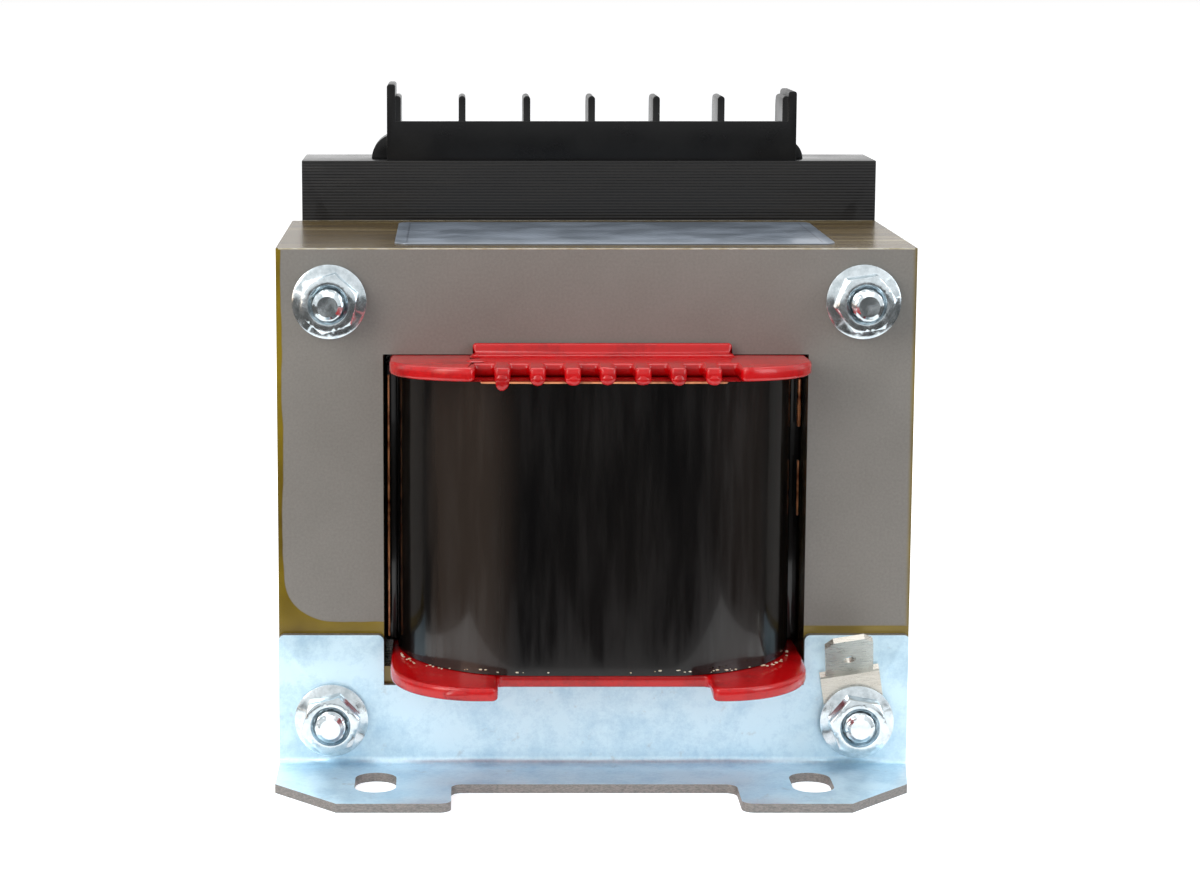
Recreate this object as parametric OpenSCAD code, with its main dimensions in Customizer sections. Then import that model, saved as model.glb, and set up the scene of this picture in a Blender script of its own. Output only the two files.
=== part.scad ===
// Laminated chassis transformer: an interleaved E and I core, clamped by four bolts between
// two sheet steel feet, with a wound bobbin on its middle leg and a terminal strip on an angle.
// Sizes are millimetres. +Z is up, the clamping nuts face -Y, and the feet stand on Z = 0.

/* [Core] */
// Lamination module: half the middle leg's width and a sixth of the core's width
lam_module = 14; // [12:0.5:18]
// Thickness of one steel sheet
sheet_t = 0.5; // [0.35:0.05:0.65]
// Sheets laid the same way round in each packet
sheets_per_packet = 4; // [3:1:5]
// Packets in the stack, an odd number so that both faces show a top yoke
packets = 21; // [17:2:25]
// Insulating coat left free between two packets
coat_gap = 0.02; // [0.01:0.01:0.05]
// Butt gap where the legs of an E meet an I
butt_gap = 0.05; // [0.02:0.01:0.1]
// Height of the core above the mounting surface
core_lift = 0.2; // [0.1:0.1:1]

/* [Bolts] */
// Thread diameter of the clamping bolts
bolt_d = 4; // [3.5:0.5:4.5]
// Clearance hole for a clamping bolt
bolt_hole_d = 4.8; // [4.7:0.1:5.2]
// Width across flats of bolt heads and nuts
hex_af = 7; // [6.5:0.25:7.5]
// Height of a bolt head
head_h = 2.8; // [2.4:0.1:3.2]
// Height of a nut with its flange
nut_h = 4; // [3.5:0.25:5]
// Diameter of a nut's flange
flange_d = 9.8; // [9:0.2:10.2]
// Thickness of a nut's flange at its rim
flange_rim_t = 0.7; // [0.5:0.1:1]
// Length of bolt that shows past an upper nut
bolt_proud = 2.5; // [1.8:0.1:3.5]
// Chamfer on the end of a bolt
bolt_chamfer = 0.65; // [0.3:0.05:0.9]
// Radial play of a nut's thread on its bolt
thread_play = 0.03; // [0.02:0.01:0.05]

/* [Feet] */
// Sheet thickness of a foot
foot_t = 1.2; // [1:0.1:2]
// Inside radius of the bend
foot_bend_r = 1; // [0.8:0.1:1.5]
// Height of the two ears that the lower bolts clamp
foot_ear_h = 18.7; // [15:0.1:22]
// Height of the web between the ears
foot_web_h = 11.9; // [9:0.1:13]
// Reach of a foot in front of the core
foot_reach = 21.2; // [19:0.1:26]
// Reach of a foot along its middle cut-out
foot_mid_reach = 11.9; // [8:0.1:14]
// Half width of the middle cut-out
foot_cutout_half_w = 18.6; // [12:0.1:21]
// Offset of the cut-out and the slots towards +X
foot_offset = -0.4; // [-1:0.1:1]
// How far the right-hand pad's corner stands in from the core's side
foot_trim = 1.5; // [0:0.1:2]
// Chamfer on each outer corner, across the width
foot_chamfer_x = 8.3; // [4:0.1:10]
// Chamfer on each outer corner, along the reach
foot_chamfer_y = 9.4; // [4:0.1:12]
// Radius of the cut-out's corners
foot_corner_r = 1.6; // [0.8:0.1:3]
// Radius on the upper corners of the ears
ear_corner_r = 0.8; // [0.4:0.1:2]
// Spacing of the fixing slots across the core
slot_spacing_x = 57; // [50:0.5:62]
// Distance from the core's face to the middle of a slot
slot_reach = 11; // [9:0.1:13]
// Width of a fixing slot
slot_w = 5.4; // [4.5:0.1:6]
// Length of a fixing slot from end to end
slot_l = 9.6; // [7:0.1:11]

/* [Bobbin] */
// Clearance between the bobbin's tube and the middle leg
leg_play = 0.3; // [0.2:0.05:0.6]
// Wall of the tube
tube_t = 1.5; // [1:0.1:2]
// Thickness of a flange
bob_flange_t = 1.8; // [1.4:0.1:2.4]
// Clearance between a flange and the window's walls
window_play = 0.7; // [0.3:0.1:1]
// Clearance between a flange and the yoke behind it
yoke_play = 0.1; // [0.05:0.05:0.4]
// Offset of the flanges towards +X
bob_offset = 0.3; // [-0.3:0.1:0.3]
// Reach of the flanges past the core's faces
bob_reach = 17.7; // [16:0.1:20]
// Corner radius of the flanges
bob_corner_r = 11.5; // [8:0.5:13]
// Angle that the winding has spread the flanges by
bob_flare = 2.2; // [0:0.2:3]
// Pitch of the teeth that part the leads
tooth_pitch = 4.44; // [4:0.05:4.8]
// Width of a tooth
tooth_w = 2.03; // [1.6:0.05:2.3]
// Reach of the slots' floor past the core's faces
slot_floor_reach = 10.9; // [10:0.1:12]
// Half width of the part of the upper rim that holds the teeth
comb_half_w = 16.8; // [16:0.1:17.5]
// Half width of the recess in the lower rim
recess_half_w = 13.8; // [12:0.1:17]
// Offset of the lip, the teeth and the recess towards +X
comb_offset = 0.8; // [-1:0.1:1]
// Half length of the lip on the upper flange
lip_half_l = 17; // [15:0.5:18]
// Thickness of the lip
lip_t = 1; // [0.6:0.1:1.5]
// Height of the lip above the flange
lip_h = 1.7; // [1:0.1:1.9]

/* [Winding] */
// Thickness of the inner winding
primary_t = 4.7; // [4:0.1:5]
// Thickness of the insulation between the windings
barrier_t = 0.4; // [0.2:0.1:0.8]
// Thickness of the outer winding
secondary_t = 4.5; // [4:0.1:4.8]
// Thickness of the tape around the coil
tape_t = 0.6; // [0.3:0.1:0.8]
// Thickness of the tape's last turn
tape_end_t = 0.2; // [0.1:0.05:0.3]
// Clearance between one layer of the coil and the next
layer_gap = 0.03; // [0.02:0.01:0.05]
// Clearance between the coil and the flanges
coil_end_gap = 0.05; // [0.02:0.01:0.1]
// Corner radius of the finished coil
coil_corner_r = 13; // [11.5:0.5:14]
// Diameter of a lead
lead_d = 1.2; // [0.8:0.1:1.4]

/* [Terminal angle] */
// Thickness of the angle
angle_t = 1.5; // [1.2:0.1:2]
// Length of the angle across the core
angle_l = 82.6; // [80:0.1:82.8]
// Offset of the angle towards +X
angle_offset = 0.7; // [0:0.1:0.7]
// Height of its shelf above the core
angle_rise = 8.6; // [6:0.1:11]
// Depth of its shelf
angle_depth = 14.4; // [14:0.1:17]
// Height of the web that the upper bolts clamp, below the top of the core
angle_drop = 12; // [11.5:0.1:12.2]

/* [Terminal strip] */
// Number of terminals
poles = 6; // [4:1:6]
// Pitch of the terminals
pole_pitch = 9.32; // [9:0.1:9.6]
// Offset of the terminals towards +X
strip_offset = 1.1; // [0:0.1:1.5]
// Set-back of the strip from the angle's face
strip_setback = 0.8; // [0.4:0.1:1.2]
// Depth of the strip
strip_depth = 12.4; // [12:0.1:13]
// Thickness of the strip's floor
strip_floor_t = 1.8; // [1.5:0.1:2.4]
// Thickness of the front wall
strip_wall_t = 1.4; // [1:0.1:1.6]
// Height of the front wall
strip_wall_h = 5.6; // [5.4:0.1:7]
// Thickness of the barriers between terminals
barrier_wall_t = 1; // [0.8:0.1:1.2]
// Height of the barriers
barrier_wall_h = 9.2; // [8:0.1:10.5]
// Thickness of the end walls
end_wall_t = 1.2; // [1:0.1:1.6]
// Height of the left end wall
left_end_h = 10.9; // [9.5:0.1:12]
// Height of the right end wall
right_end_h = 9.9; // [9.5:0.1:12]
// Radius of the lug at the left end of the strip
left_lug_r = 3.6; // [3:0.1:4]
// Radius of the lug at the right end of the strip
right_lug_r = 2.8; // [2.4:0.1:4]
// Overhang of the left lug past its end wall
left_lug_overhang = 2.3; // [1:0.1:2.4]
// Overhang of the right lug past its end wall
right_lug_overhang = 1.4; // [1:0.1:2.4]
// Diameter of the pegs that hold the strip to the angle
peg_d = 3; // [2.5:0.1:3.4]

/* [Terminals] */
// Thickness of the terminal plates and clamps
plate_t = 0.8; // [0.6:0.1:1]
// Width of a terminal plate
plate_w = 6.6; // [6:0.1:7.4]
// Length of a terminal plate
plate_l = 8; // [7.6:0.1:8.4]
// Side of a square wire clamp
clamp_w = 6; // [5.7:0.1:6.4]
// Width of a solder tag
tag_w = 3; // [2.4:0.1:3.6]
// Length of a solder tag below the angle
tag_drop = 4.6; // [4:0.1:6]
// Thread diameter of a terminal screw
screw_d = 3; // [2.5:0.1:3.2]
// Diameter of a terminal screw's head
screw_head_d = 5.5; // [5:0.1:5.8]
// Height of a terminal screw's head
screw_head_h = 1.8; // [1.4:0.1:2]
// Length of a terminal screw under its head
screw_l = 2.9; // [2.6:0.1:3]

/* [Earth tab and label] */
// Thickness of the earth tab
tab_t = 0.8; // [0.6:0.1:1]
// Width of the tab's blade
blade_w = 6.3; // [5.5:0.1:6.8]
// Length of the tab's blade
blade_l = 8; // [6:0.5:9]
// Width of the tab's body between its shoulders
tab_body_w = 7.9; // [7.2:0.1:8.5]
// Distance from the bolt to the tab's shoulders
tab_shoulder = 7.5; // [6:0.1:8]
// Angle between the blade and the foot
blade_angle = 45; // [30:5:60]
// Turn of the tab about its bolt
tab_turn = 9; // [0:0.5:20]
// Length of the rating label across the core
label_l = 58.5; // [50:0.5:64]
// Depth of the rating label
label_d = 33; // [28:0.5:36]
// Thickness of the label
label_t = 0.15; // [0.1:0.05:0.3]
// Offset of the label towards +X
label_offset = 2.7; // [0:0.1:4]

/* [Hidden] */
$fn = 64;

// Colours
core_grey = [0.49, 0.48, 0.46];
zinc = [0.72, 0.80, 0.86];
bright_zinc = [0.80, 0.83, 0.85];
bobbin_red = [0.80, 0.05, 0.06];
copper = [0.72, 0.40, 0.20];
tape_black = [0.03, 0.03, 0.035];
plastic_black = [0.05, 0.06, 0.07];
barrier_amber = [0.75, 0.60, 0.30];
tin = [0.80, 0.79, 0.74];
label_silver = [0.62, 0.66, 0.72];

// A cut reaches this far past the face that it opens
cut = 1;

// Core
core_w = 6 * lam_module;
core_h = 5 * lam_module;
window_h = 3 * lam_module;
packet_t = sheet_t * sheets_per_packet;
stack = packet_t * packets;
face_y = stack / 2;
core_top = core_lift + core_h;
window_bottom = core_lift + lam_module;
window_top = window_bottom + window_h;
hole_x = core_w / 2 - lam_module / 2;
hole_low_z = core_lift + lam_module / 2;
hole_high_z = core_top - lam_module / 2;

// Bolts: the upper pair clamp the core and the angle, the lower pair the core and both feet
bolt_l = stack + angle_t + nut_h + bolt_proud;
upper_seat_y = face_y + angle_t;
lower_seat_y = face_y + foot_t;
hex_corner_d = hex_af / cos(30);
nut_cone_slope = 0.22;
hex_chamfer_angle = 30;

// Bobbin
tube_in_x = lam_module + leg_play;
tube_in_y = face_y + leg_play;
tube_out_x = tube_in_x + tube_t;
tube_out_y = tube_in_y + tube_t;
bob_half_w = 2 * lam_module - window_play;
bob_bottom = window_bottom + yoke_play;
bob_top = window_top - yoke_play;
flange_overlap = 0.4;
lip_gap = 0.25;
lip_fillet_l = 1.6;
lip_fillet_h = 0.35;
tooth_round_r = 0.5;

// Coil: each layer's half sizes and corner radius follow from the one inside it
coil_bottom = bob_bottom + bob_flange_t + coil_end_gap;
coil_top = bob_top - bob_flange_t - coil_end_gap;
coil_h = coil_top - coil_bottom;
primary_in = layer_gap;
primary_out = primary_in + primary_t;
barrier_in = primary_out + layer_gap;
barrier_out = barrier_in + barrier_t;
secondary_in = barrier_out + layer_gap;
secondary_out = secondary_in + secondary_t;
tape_in = secondary_out + layer_gap;
tape_out = tape_in + tape_t;
tube_corner_r = 0.8;
tape_end_x = 21;

// Terminal angle and strip
shelf_top = core_top + angle_rise;
shelf_bottom = shelf_top - angle_t;
angle_bottom = core_top - angle_drop;
angle_fillet_r = 1;
strip_y = face_y + strip_setback;
wall_overlap = 0.2;
strip_half_l = poles * pole_pitch / 2 + barrier_wall_t / 2 + end_wall_t - wall_overlap;
floor_top = shelf_top + strip_floor_t;
barrier_depth = 10.4;
barrier_setback = 0.6;
lug_setback = 4;
lug_depth = 5.5;
top_round_r = barrier_wall_t / 2;
end_round_r = 0.8;
peg_x = strip_half_l - 2.3;
peg_play = 0.1;
peg_head_d = peg_d + 1.6;
peg_head_h = 1.1;
peg_y = strip_y + strip_depth - 2.2;

// Terminals
plate_front_y = strip_y + strip_wall_t + 0.4;
plate_rear_y = plate_front_y + plate_l;
screw_y = plate_front_y + 3.5;
tag_play = 0.2;
tag_bottom = shelf_bottom - tag_drop;
tag_hole_d = lead_d + 0.2;
tag_hole_z = tag_bottom + 1.4;
clamp_seat = floor_top + plate_t;
head_seat = clamp_seat + plate_t;
screw_play = 0.3;
driver_slot_w = 0.8;
driver_slot_h = 1;

// Leads: from the bobbin's slots up to the solder tags
lead_slot_y = face_y + slot_floor_reach + lead_d / 2 + 0.1;
lead_bend_r = 1.8;
lead_tag_y = plate_rear_y + 1 + lead_bend_r;
lead_straight_z = window_top + 2.5;
lead_end_y = plate_rear_y - plate_t - 1.2;
lead_sides = 12;

// Helper: extrudes an outline drawn in X and Z, from y = y0 to y = y0 + t
module upright(y0, t) {
    translate([0, y0 + t, 0])
        rotate([90, 0, 0])
            linear_extrude(t)
                children();
}

// Helper: extrudes an outline drawn in Y and Z, centred on x = 0
module lengthwise(l) {
    translate([-l / 2, 0, 0])
        rotate([90, 0, 90])
            linear_extrude(l)
                children();
}

// Helper: a rounded rectangle given by its half sizes, with true arcs
module round_rect(hx, hy, r) {
    square([2 * (hx - r), 2 * hy], center = true);
    square([2 * hx, 2 * (hy - r)], center = true);
    for (sx = [-1, 1], sy = [-1, 1])
        translate([sx * (hx - r), sy * (hy - r)])
            circle(r);
}

// Helper: the same shape repeated on both sides of x = 0
module both_sides() {
    children();
    mirror([1, 0, 0]) children();
}

// Helper: the same shape repeated in front and behind
module both_ends() {
    children();
    mirror([0, 1, 0]) children();
}

// --- Core ---------------------------------------------------------------

// One E with its yoke at the top, in X and Z, from the bottom of its legs
module e_outline() {
    leg_end = lam_module + butt_gap;
    difference() {
        translate([-core_w / 2, leg_end]) square([core_w, core_h - leg_end]);
        both_sides()
            translate([lam_module, leg_end - cut])
                square([lam_module, window_h + lam_module - leg_end + cut]);
        both_sides()
            translate([hole_x, core_h - lam_module / 2])
                circle(d = bolt_hole_d);
    }
}

// One I, at the bottom
module i_outline() {
    difference() {
        translate([-core_w / 2, 0]) square([core_w, lam_module]);
        both_sides()
            translate([hole_x, lam_module / 2])
                circle(d = bolt_hole_d);
    }
}

// Every second packet is turned over, so that the joints are bridged
module packet(i) {
    translate([0, 0, core_lift])
        upright(-face_y + i * packet_t + coat_gap / 2, packet_t - coat_gap)
            if (i % 2 == 0) {
                children();
            } else {
                translate([0, core_h]) mirror([0, 1]) children();
            }
}

module e_laminations() {
    color(core_grey)
        for (i = [0 : packets - 1])
            packet(i) e_outline();
}

module i_laminations() {
    color(core_grey)
        for (i = [0 : packets - 1])
            packet(i) i_outline();
}

// --- Bobbin and winding ---------------------------------------------------

// The part of a flange past the core's face: x across the core, y away from it
module overhang_outline() {
    translate([bob_offset, 0])
        intersection() {
            translate([0, bob_reach - bob_half_w])
                round_rect(bob_half_w, bob_half_w, bob_corner_r);
            translate([-bob_half_w, -flange_overlap])
                square([2 * bob_half_w, bob_reach + flange_overlap]);
        }
}

// One tooth between two leads, with a rounded tip
module tooth() {
    translate([-tooth_w / 2, slot_floor_reach - flange_overlap])
        square([tooth_w, bob_reach - slot_floor_reach + flange_overlap - tooth_round_r]);
    translate([-(tooth_w / 2 - tooth_round_r), slot_floor_reach])
        square([tooth_w - 2 * tooth_round_r, bob_reach - slot_floor_reach]);
    both_sides()
        translate([tooth_w / 2 - tooth_round_r, bob_reach - tooth_round_r])
            circle(tooth_round_r);
}

// A flange from above, its rim set back between -opening and +opening
module flange_plan(opening) {
    difference() {
        union() {
            translate([bob_offset, 0]) square([2 * bob_half_w, stack], center = true);
            both_ends() translate([0, face_y]) overhang_outline();
        }
        square([2 * tube_in_x, 2 * tube_in_y], center = true);
        both_ends()
            translate([comb_offset - opening, face_y + slot_floor_reach])
                square([2 * opening, bob_reach]);
    }
}

module comb_plan() {
    both_ends()
        for (i = [-poles / 2 : poles / 2])
            translate([comb_offset + i * tooth_pitch, face_y]) tooth();
}

// Side view of a flange, in Y and Z: level in the window and spread outside it
module flange_section() {
    end_y = face_y + bob_reach + cut;
    rise = (end_y - face_y) * tan(bob_flare);
    polygon([
        [-end_y, rise], [-face_y, 0], [face_y, 0], [end_y, rise],
        [end_y, rise + bob_flange_t], [face_y, bob_flange_t],
        [-face_y, bob_flange_t], [-end_y, rise + bob_flange_t]
    ]);
}

module spread_plate() {
    intersection() {
        lengthwise(core_w) flange_section();
        linear_extrude(core_h) children();
    }
}

module bobbin() {
    color(bobbin_red) {
        translate([0, 0, bob_bottom])
            linear_extrude(bob_top - bob_bottom)
                difference() {
                    round_rect(tube_out_x, tube_out_y, tube_corner_r);
                    square([2 * tube_in_x, 2 * tube_in_y], center = true);
                }
        translate([0, 0, bob_top - bob_flange_t])
            spread_plate() {
                flange_plan(comb_half_w);
                comb_plan();
            }
        translate([0, 0, bob_bottom + bob_flange_t])
            mirror([0, 0, 1])
                spread_plate() flange_plan(recess_half_w);
        both_ends()
            translate([comb_offset - lip_half_l, face_y + lip_gap, bob_top - bob_flange_t / 2]) {
                cube([2 * lip_half_l, lip_t, bob_flange_t / 2 + lip_h]);
                cube([2 * lip_half_l, lip_t + lip_fillet_l, bob_flange_t / 2 + lip_fillet_h]);
            }
    }
}

// Outline of the coil at a given build above the tube
module coil_outline(build) {
    share = build / tape_out;
    round_rect(tube_out_x + build, tube_out_y + build,
               tube_corner_r + share * (coil_corner_r - tube_corner_r));
}

module coil_layer(inner, outer) {
    translate([0, 0, coil_bottom])
        linear_extrude(coil_h)
            difference() {
                coil_outline(outer);
                coil_outline(inner);
            }
}

module primary_winding() {
    color(copper) coil_layer(primary_in, primary_out);
}

module winding_barrier() {
    color(barrier_amber) coil_layer(barrier_in, barrier_out);
}

module secondary_winding() {
    color(copper) coil_layer(secondary_in, secondary_out);
}

// The last turn of tape ends in a step near the front right corner
module coil_tape() {
    color(tape_black) {
        coil_layer(tape_in, tape_out);
        translate([0, 0, coil_bottom])
            linear_extrude(coil_h)
                difference() {
                    intersection() {
                        coil_outline(tape_out + tape_end_t);
                        translate([tape_end_x, -face_y - bob_reach])
                            square([bob_half_w - tape_end_x, bob_reach]);
                    }
                    coil_outline(tape_in);
                }
    }
}

// --- Feet -----------------------------------------------------------------

// Section of a foot: y away from the core, z up
module foot_section() {
    outer_r = foot_bend_r + foot_t;
    translate([0, outer_r]) square([foot_t, foot_ear_h - outer_r]);
    translate([outer_r, 0]) square([foot_reach - outer_r, foot_t]);
    intersection() {
        translate([outer_r, outer_r])
            difference() {
                circle(outer_r);
                circle(foot_bend_r);
            }
        square(outer_r);
    }
}

// Everything of a foot that shows from above: chamfered pads and the cut-out between them
module foot_plan() {
    pad_in = foot_cutout_half_w;
    difference() {
        polygon([
            [-core_w / 2, 0], [core_w / 2, 0],
            [core_w / 2 - foot_trim, foot_reach - foot_chamfer_y],
            [core_w / 2 - foot_trim - foot_chamfer_x, foot_reach],
            [-core_w / 2 + foot_chamfer_x, foot_reach],
            [-core_w / 2, foot_reach - foot_chamfer_y]
        ]);
        translate([foot_offset, 0]) {
            translate([-pad_in, foot_mid_reach + foot_corner_r])
                square([2 * pad_in, foot_reach]);
            translate([-pad_in + foot_corner_r, foot_mid_reach])
                square([2 * (pad_in - foot_corner_r), foot_reach]);
            both_sides()
                translate([pad_in - foot_corner_r, foot_mid_reach + foot_corner_r])
                    circle(foot_corner_r);
            both_sides()
                translate([pad_in - cut, foot_reach - foot_corner_r])
                    difference() {
                        square([foot_corner_r + cut, foot_corner_r + cut]);
                        translate([foot_corner_r + cut, 0]) circle(foot_corner_r);
                    }
            both_sides()
                translate([slot_spacing_x / 2, slot_reach]) {
                    square([slot_w, slot_l - slot_w], center = true);
                    for (end = [-1, 1])
                        translate([0, end * (slot_l - slot_w) / 2]) circle(d = slot_w);
                }
        }
    }
}

// Everything of a foot that shows from the front: two ears with their bolt holes
module foot_front() {
    ear_in = 2 * lam_module;
    difference() {
        translate([-core_w / 2, 0]) square([core_w, foot_ear_h]);
        translate([-ear_in, foot_web_h]) square([2 * ear_in, foot_ear_h]);
        both_sides()
            translate([hole_x, hole_low_z]) circle(d = bolt_hole_d);
        for (x = [ear_in, core_w / 2])
            both_sides()
                translate([x, foot_ear_h])
                    difference() {
                        square(2 * ear_corner_r, center = true);
                        translate([(x == ear_in ? 1 : -1) * ear_corner_r, -ear_corner_r])
                            circle(ear_corner_r);
                    }
    }
}

module foot() {
    color(zinc)
        translate([0, face_y, 0])
            intersection() {
                lengthwise(core_w) foot_section();
                linear_extrude(foot_ear_h) foot_plan();
                upright(0, foot_reach) foot_front();
            }
}

module rear_foot() {
    foot();
}

module front_foot() {
    mirror([0, 1, 0]) foot();
}

// --- Bolts and nuts ---------------------------------------------------------

// A hexagon with chamfered corners at its free end, along +Z from z = 0
module hex_body(h) {
    drop = (hex_corner_d - hex_af) / 2 * tan(hex_chamfer_angle);
    intersection() {
        cylinder(h = h, d = hex_corner_d, $fn = 6);
        union() {
            cylinder(h = h - drop, d = hex_corner_d + cut);
            translate([0, 0, h - drop])
                cylinder(h = drop, d1 = hex_corner_d, d2 = hex_af);
        }
    }
}

// A bolt along -Y: its head rests on the plane y = seat_y and its shank points to the front
module bolt(x, z, seat_y) {
    color(bright_zinc)
        translate([x, seat_y, z]) {
            rotate([-90, 0, 0]) hex_body(head_h);
            rotate([90, 0, 0]) {
                cylinder(h = bolt_l - bolt_chamfer, d = bolt_d);
                translate([0, 0, bolt_l - bolt_chamfer])
                    cylinder(h = bolt_chamfer, d1 = bolt_d, d2 = bolt_d - 2 * bolt_chamfer);
            }
        }
}

// A flange nut along -Y, resting on the plane y = -seat_y
module nut(x, z, seat_y) {
    cone_h = (flange_d - hex_af) / 2 * nut_cone_slope;
    color(bright_zinc)
        translate([x, -seat_y, z])
            rotate([90, 0, 0])
                difference() {
                    union() {
                        cylinder(h = flange_rim_t, d = flange_d);
                        translate([0, 0, flange_rim_t])
                            cylinder(h = cone_h, d1 = flange_d, d2 = hex_af);
                        hex_body(nut_h);
                    }
                    translate([0, 0, -cut])
                        cylinder(h = nut_h + 2 * cut, d = bolt_d + 2 * thread_play);
                    translate([0, 0, nut_h - bolt_chamfer])
                        cylinder(h = bolt_chamfer + 0.01, d1 = bolt_d, d2 = bolt_d + 2 * bolt_chamfer);
                }
}

module bolt_upper_left() bolt(-hole_x, hole_high_z, upper_seat_y);
module bolt_upper_right() bolt(hole_x, hole_high_z, upper_seat_y);
module bolt_lower_left() bolt(-hole_x, hole_low_z, lower_seat_y);
module bolt_lower_right() bolt(hole_x, hole_low_z, lower_seat_y);
module nut_upper_left() nut(-hole_x, hole_high_z, face_y);
module nut_upper_right() nut(hole_x, hole_high_z, face_y);
module nut_lower_left() nut(-hole_x, hole_low_z, lower_seat_y);
module nut_lower_right() nut(hole_x, hole_low_z, lower_seat_y + tab_t);

// --- Earth tab and label ------------------------------------------------------

blade_chamfer = 1.1;
blade_hole_d = 1.6;
blade_hole_at = 3.4;
tab_ring_d = 9;

// Drawn flat against the front foot: x across, y up, z towards the front
module earth_tab() {
    bend_y = tab_shoulder - tab_t;
    color(bright_zinc)
        translate([hole_x, -lower_seat_y, hole_low_z])
            rotate([90, 0, 0])
                rotate([0, 0, tab_turn]) {
                    linear_extrude(tab_t)
                        difference() {
                            union() {
                                circle(d = tab_ring_d);
                                translate([-tab_body_w / 2, 0]) square([tab_body_w, bend_y]);
                            }
                            circle(d = bolt_hole_d);
                        }
                    translate([0, bend_y, 0])
                        rotate([blade_angle, 0, 0])
                            linear_extrude(tab_t)
                                difference() {
                                    union() {
                                        translate([-tab_body_w / 2, 0])
                                            square([tab_body_w, tab_t]);
                                        polygon([
                                            [-blade_w / 2, 0], [blade_w / 2, 0],
                                            [blade_w / 2, blade_l + tab_t - blade_chamfer],
                                            [blade_w / 2 - blade_chamfer, blade_l + tab_t],
                                            [-blade_w / 2 + blade_chamfer, blade_l + tab_t],
                                            [-blade_w / 2, blade_l + tab_t - blade_chamfer]
                                        ]);
                                    }
                                    translate([0, blade_hole_at + tab_t]) circle(d = blade_hole_d);
                                }
                }
}

label_corner_r = 2;
label_front = 5;

module rating_label() {
    color(label_silver)
        translate([label_offset, -face_y + label_front + label_d / 2, core_top])
            linear_extrude(label_t)
                round_rect(label_l / 2, label_d / 2, label_corner_r);
}

// --- Terminal angle and strip --------------------------------------------------

// Section of the angle: y from the core's rear face, z up
module angle_section() {
    translate([0, angle_bottom]) square([angle_t, shelf_top - angle_bottom]);
    translate([0, shelf_bottom]) square([angle_depth, angle_t]);
    translate([angle_t, shelf_bottom - angle_fillet_r])
        difference() {
            square(angle_fillet_r);
            translate([angle_fillet_r, 0]) circle(angle_fillet_r);
        }
}

function pole_x(i) = strip_offset + (i - (poles - 1) / 2) * pole_pitch;
function slot_x(i) = comb_offset + (i - (poles - 1) / 2) * tooth_pitch;

module tag_slots(z0, h) {
    for (i = [0 : poles - 1])
        translate([pole_x(i) - tag_w / 2 - tag_play,
                   plate_rear_y - plate_t - tag_play, z0])
            cube([tag_w + 2 * tag_play, plate_t + 2 * tag_play, h]);
}

module terminal_angle() {
    color(plastic_black)
        difference() {
            translate([angle_offset, face_y, 0]) lengthwise(angle_l) angle_section();
            upright(face_y - cut, angle_t + 2 * cut)
                both_sides()
                    translate([hole_x, hole_high_z]) circle(d = bolt_hole_d);
            tag_slots(shelf_bottom - cut, angle_t + 2 * cut);
            for (side = [-1, 1])
                translate([strip_offset + side * peg_x, peg_y, shelf_bottom - cut])
                    cylinder(h = angle_t + 2 * cut, d = peg_d + 2 * peg_play);
        }
}

// A wall across the strip, rounded along its top edge, drawn in X and Z
module barrier_profile(t, h, r) {
    translate([-t / 2, 0]) square([t, h - r]);
    translate([-(t / 2 - r), 0]) square([max(t - 2 * r, 0.02), h]);
    both_sides()
        translate([t / 2 - r, h - r]) circle(r);
}

// Side view of a barrier, in Y and Z: its top rear corner is rounded
module barrier_side(depth, h, r) {
    square([depth, h - r]);
    square([depth - r, h]);
    translate([depth - r, h - r]) circle(r);
}

module end_wall(side, h) {
    intersection() {
        translate([side * (strip_half_l - end_wall_t / 2), strip_y, shelf_top])
            lengthwise(end_wall_t) barrier_side(strip_depth, h, 2 * end_round_r);
        translate([side * (strip_half_l - end_wall_t / 2), 0, shelf_top])
            upright(strip_y, strip_depth) barrier_profile(end_wall_t, h, end_round_r / 2);
    }
}

// A quarter-round lug at one end of the strip
module lug(side, r, overhang) {
    mirror([side < 0 ? 1 : 0, 0, 0])
        intersection() {
            translate([strip_half_l + overhang - r, 0, shelf_top])
                upright(strip_y + lug_setback, lug_depth) circle(r);
            translate([strip_half_l - end_wall_t / 2, strip_y, shelf_top])
                cube([core_w, strip_depth, r]);
        }
}

module strip_barrier() {
    intersection() {
        upright(0, barrier_depth)
            barrier_profile(barrier_wall_t, barrier_wall_h, top_round_r - 0.01);
        lengthwise(2 * barrier_wall_t)
            barrier_side(barrier_depth, barrier_wall_h, 4 * top_round_r);
    }
}

module terminal_strip() {
    color(plastic_black)
        difference() {
            union() {
                translate([strip_offset - strip_half_l, strip_y, shelf_top]) {
                    cube([2 * strip_half_l, strip_depth, strip_floor_t]);
                    cube([2 * strip_half_l, strip_wall_t, strip_wall_h]);
                }
                for (i = [0 : poles])
                    translate([pole_x(i) - pole_pitch / 2, strip_y + barrier_setback, shelf_top])
                        strip_barrier();
                translate([strip_offset, 0, 0]) {
                    end_wall(-1, left_end_h);
                    end_wall(1, right_end_h);
                    lug(-1, left_lug_r, left_lug_overhang);
                    lug(1, right_lug_r, right_lug_overhang);
                    for (side = [-1, 1])
                        translate([side * peg_x, peg_y, shelf_bottom - peg_head_h]) {
                            cylinder(h = peg_head_h + angle_t + strip_floor_t / 2, d = peg_d);
                            cylinder(h = peg_head_h, d1 = peg_d, d2 = peg_head_d);
                        }
                }
            }
            tag_slots(shelf_top - cut, strip_floor_t + 2 * cut);
            for (i = [0 : poles - 1])
                translate([pole_x(i), screw_y, head_seat - screw_l - screw_play])
                    cylinder(h = strip_floor_t + cut, d = screw_d + 2 * screw_play);
        }
}

// --- Terminals ------------------------------------------------------------------

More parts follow.
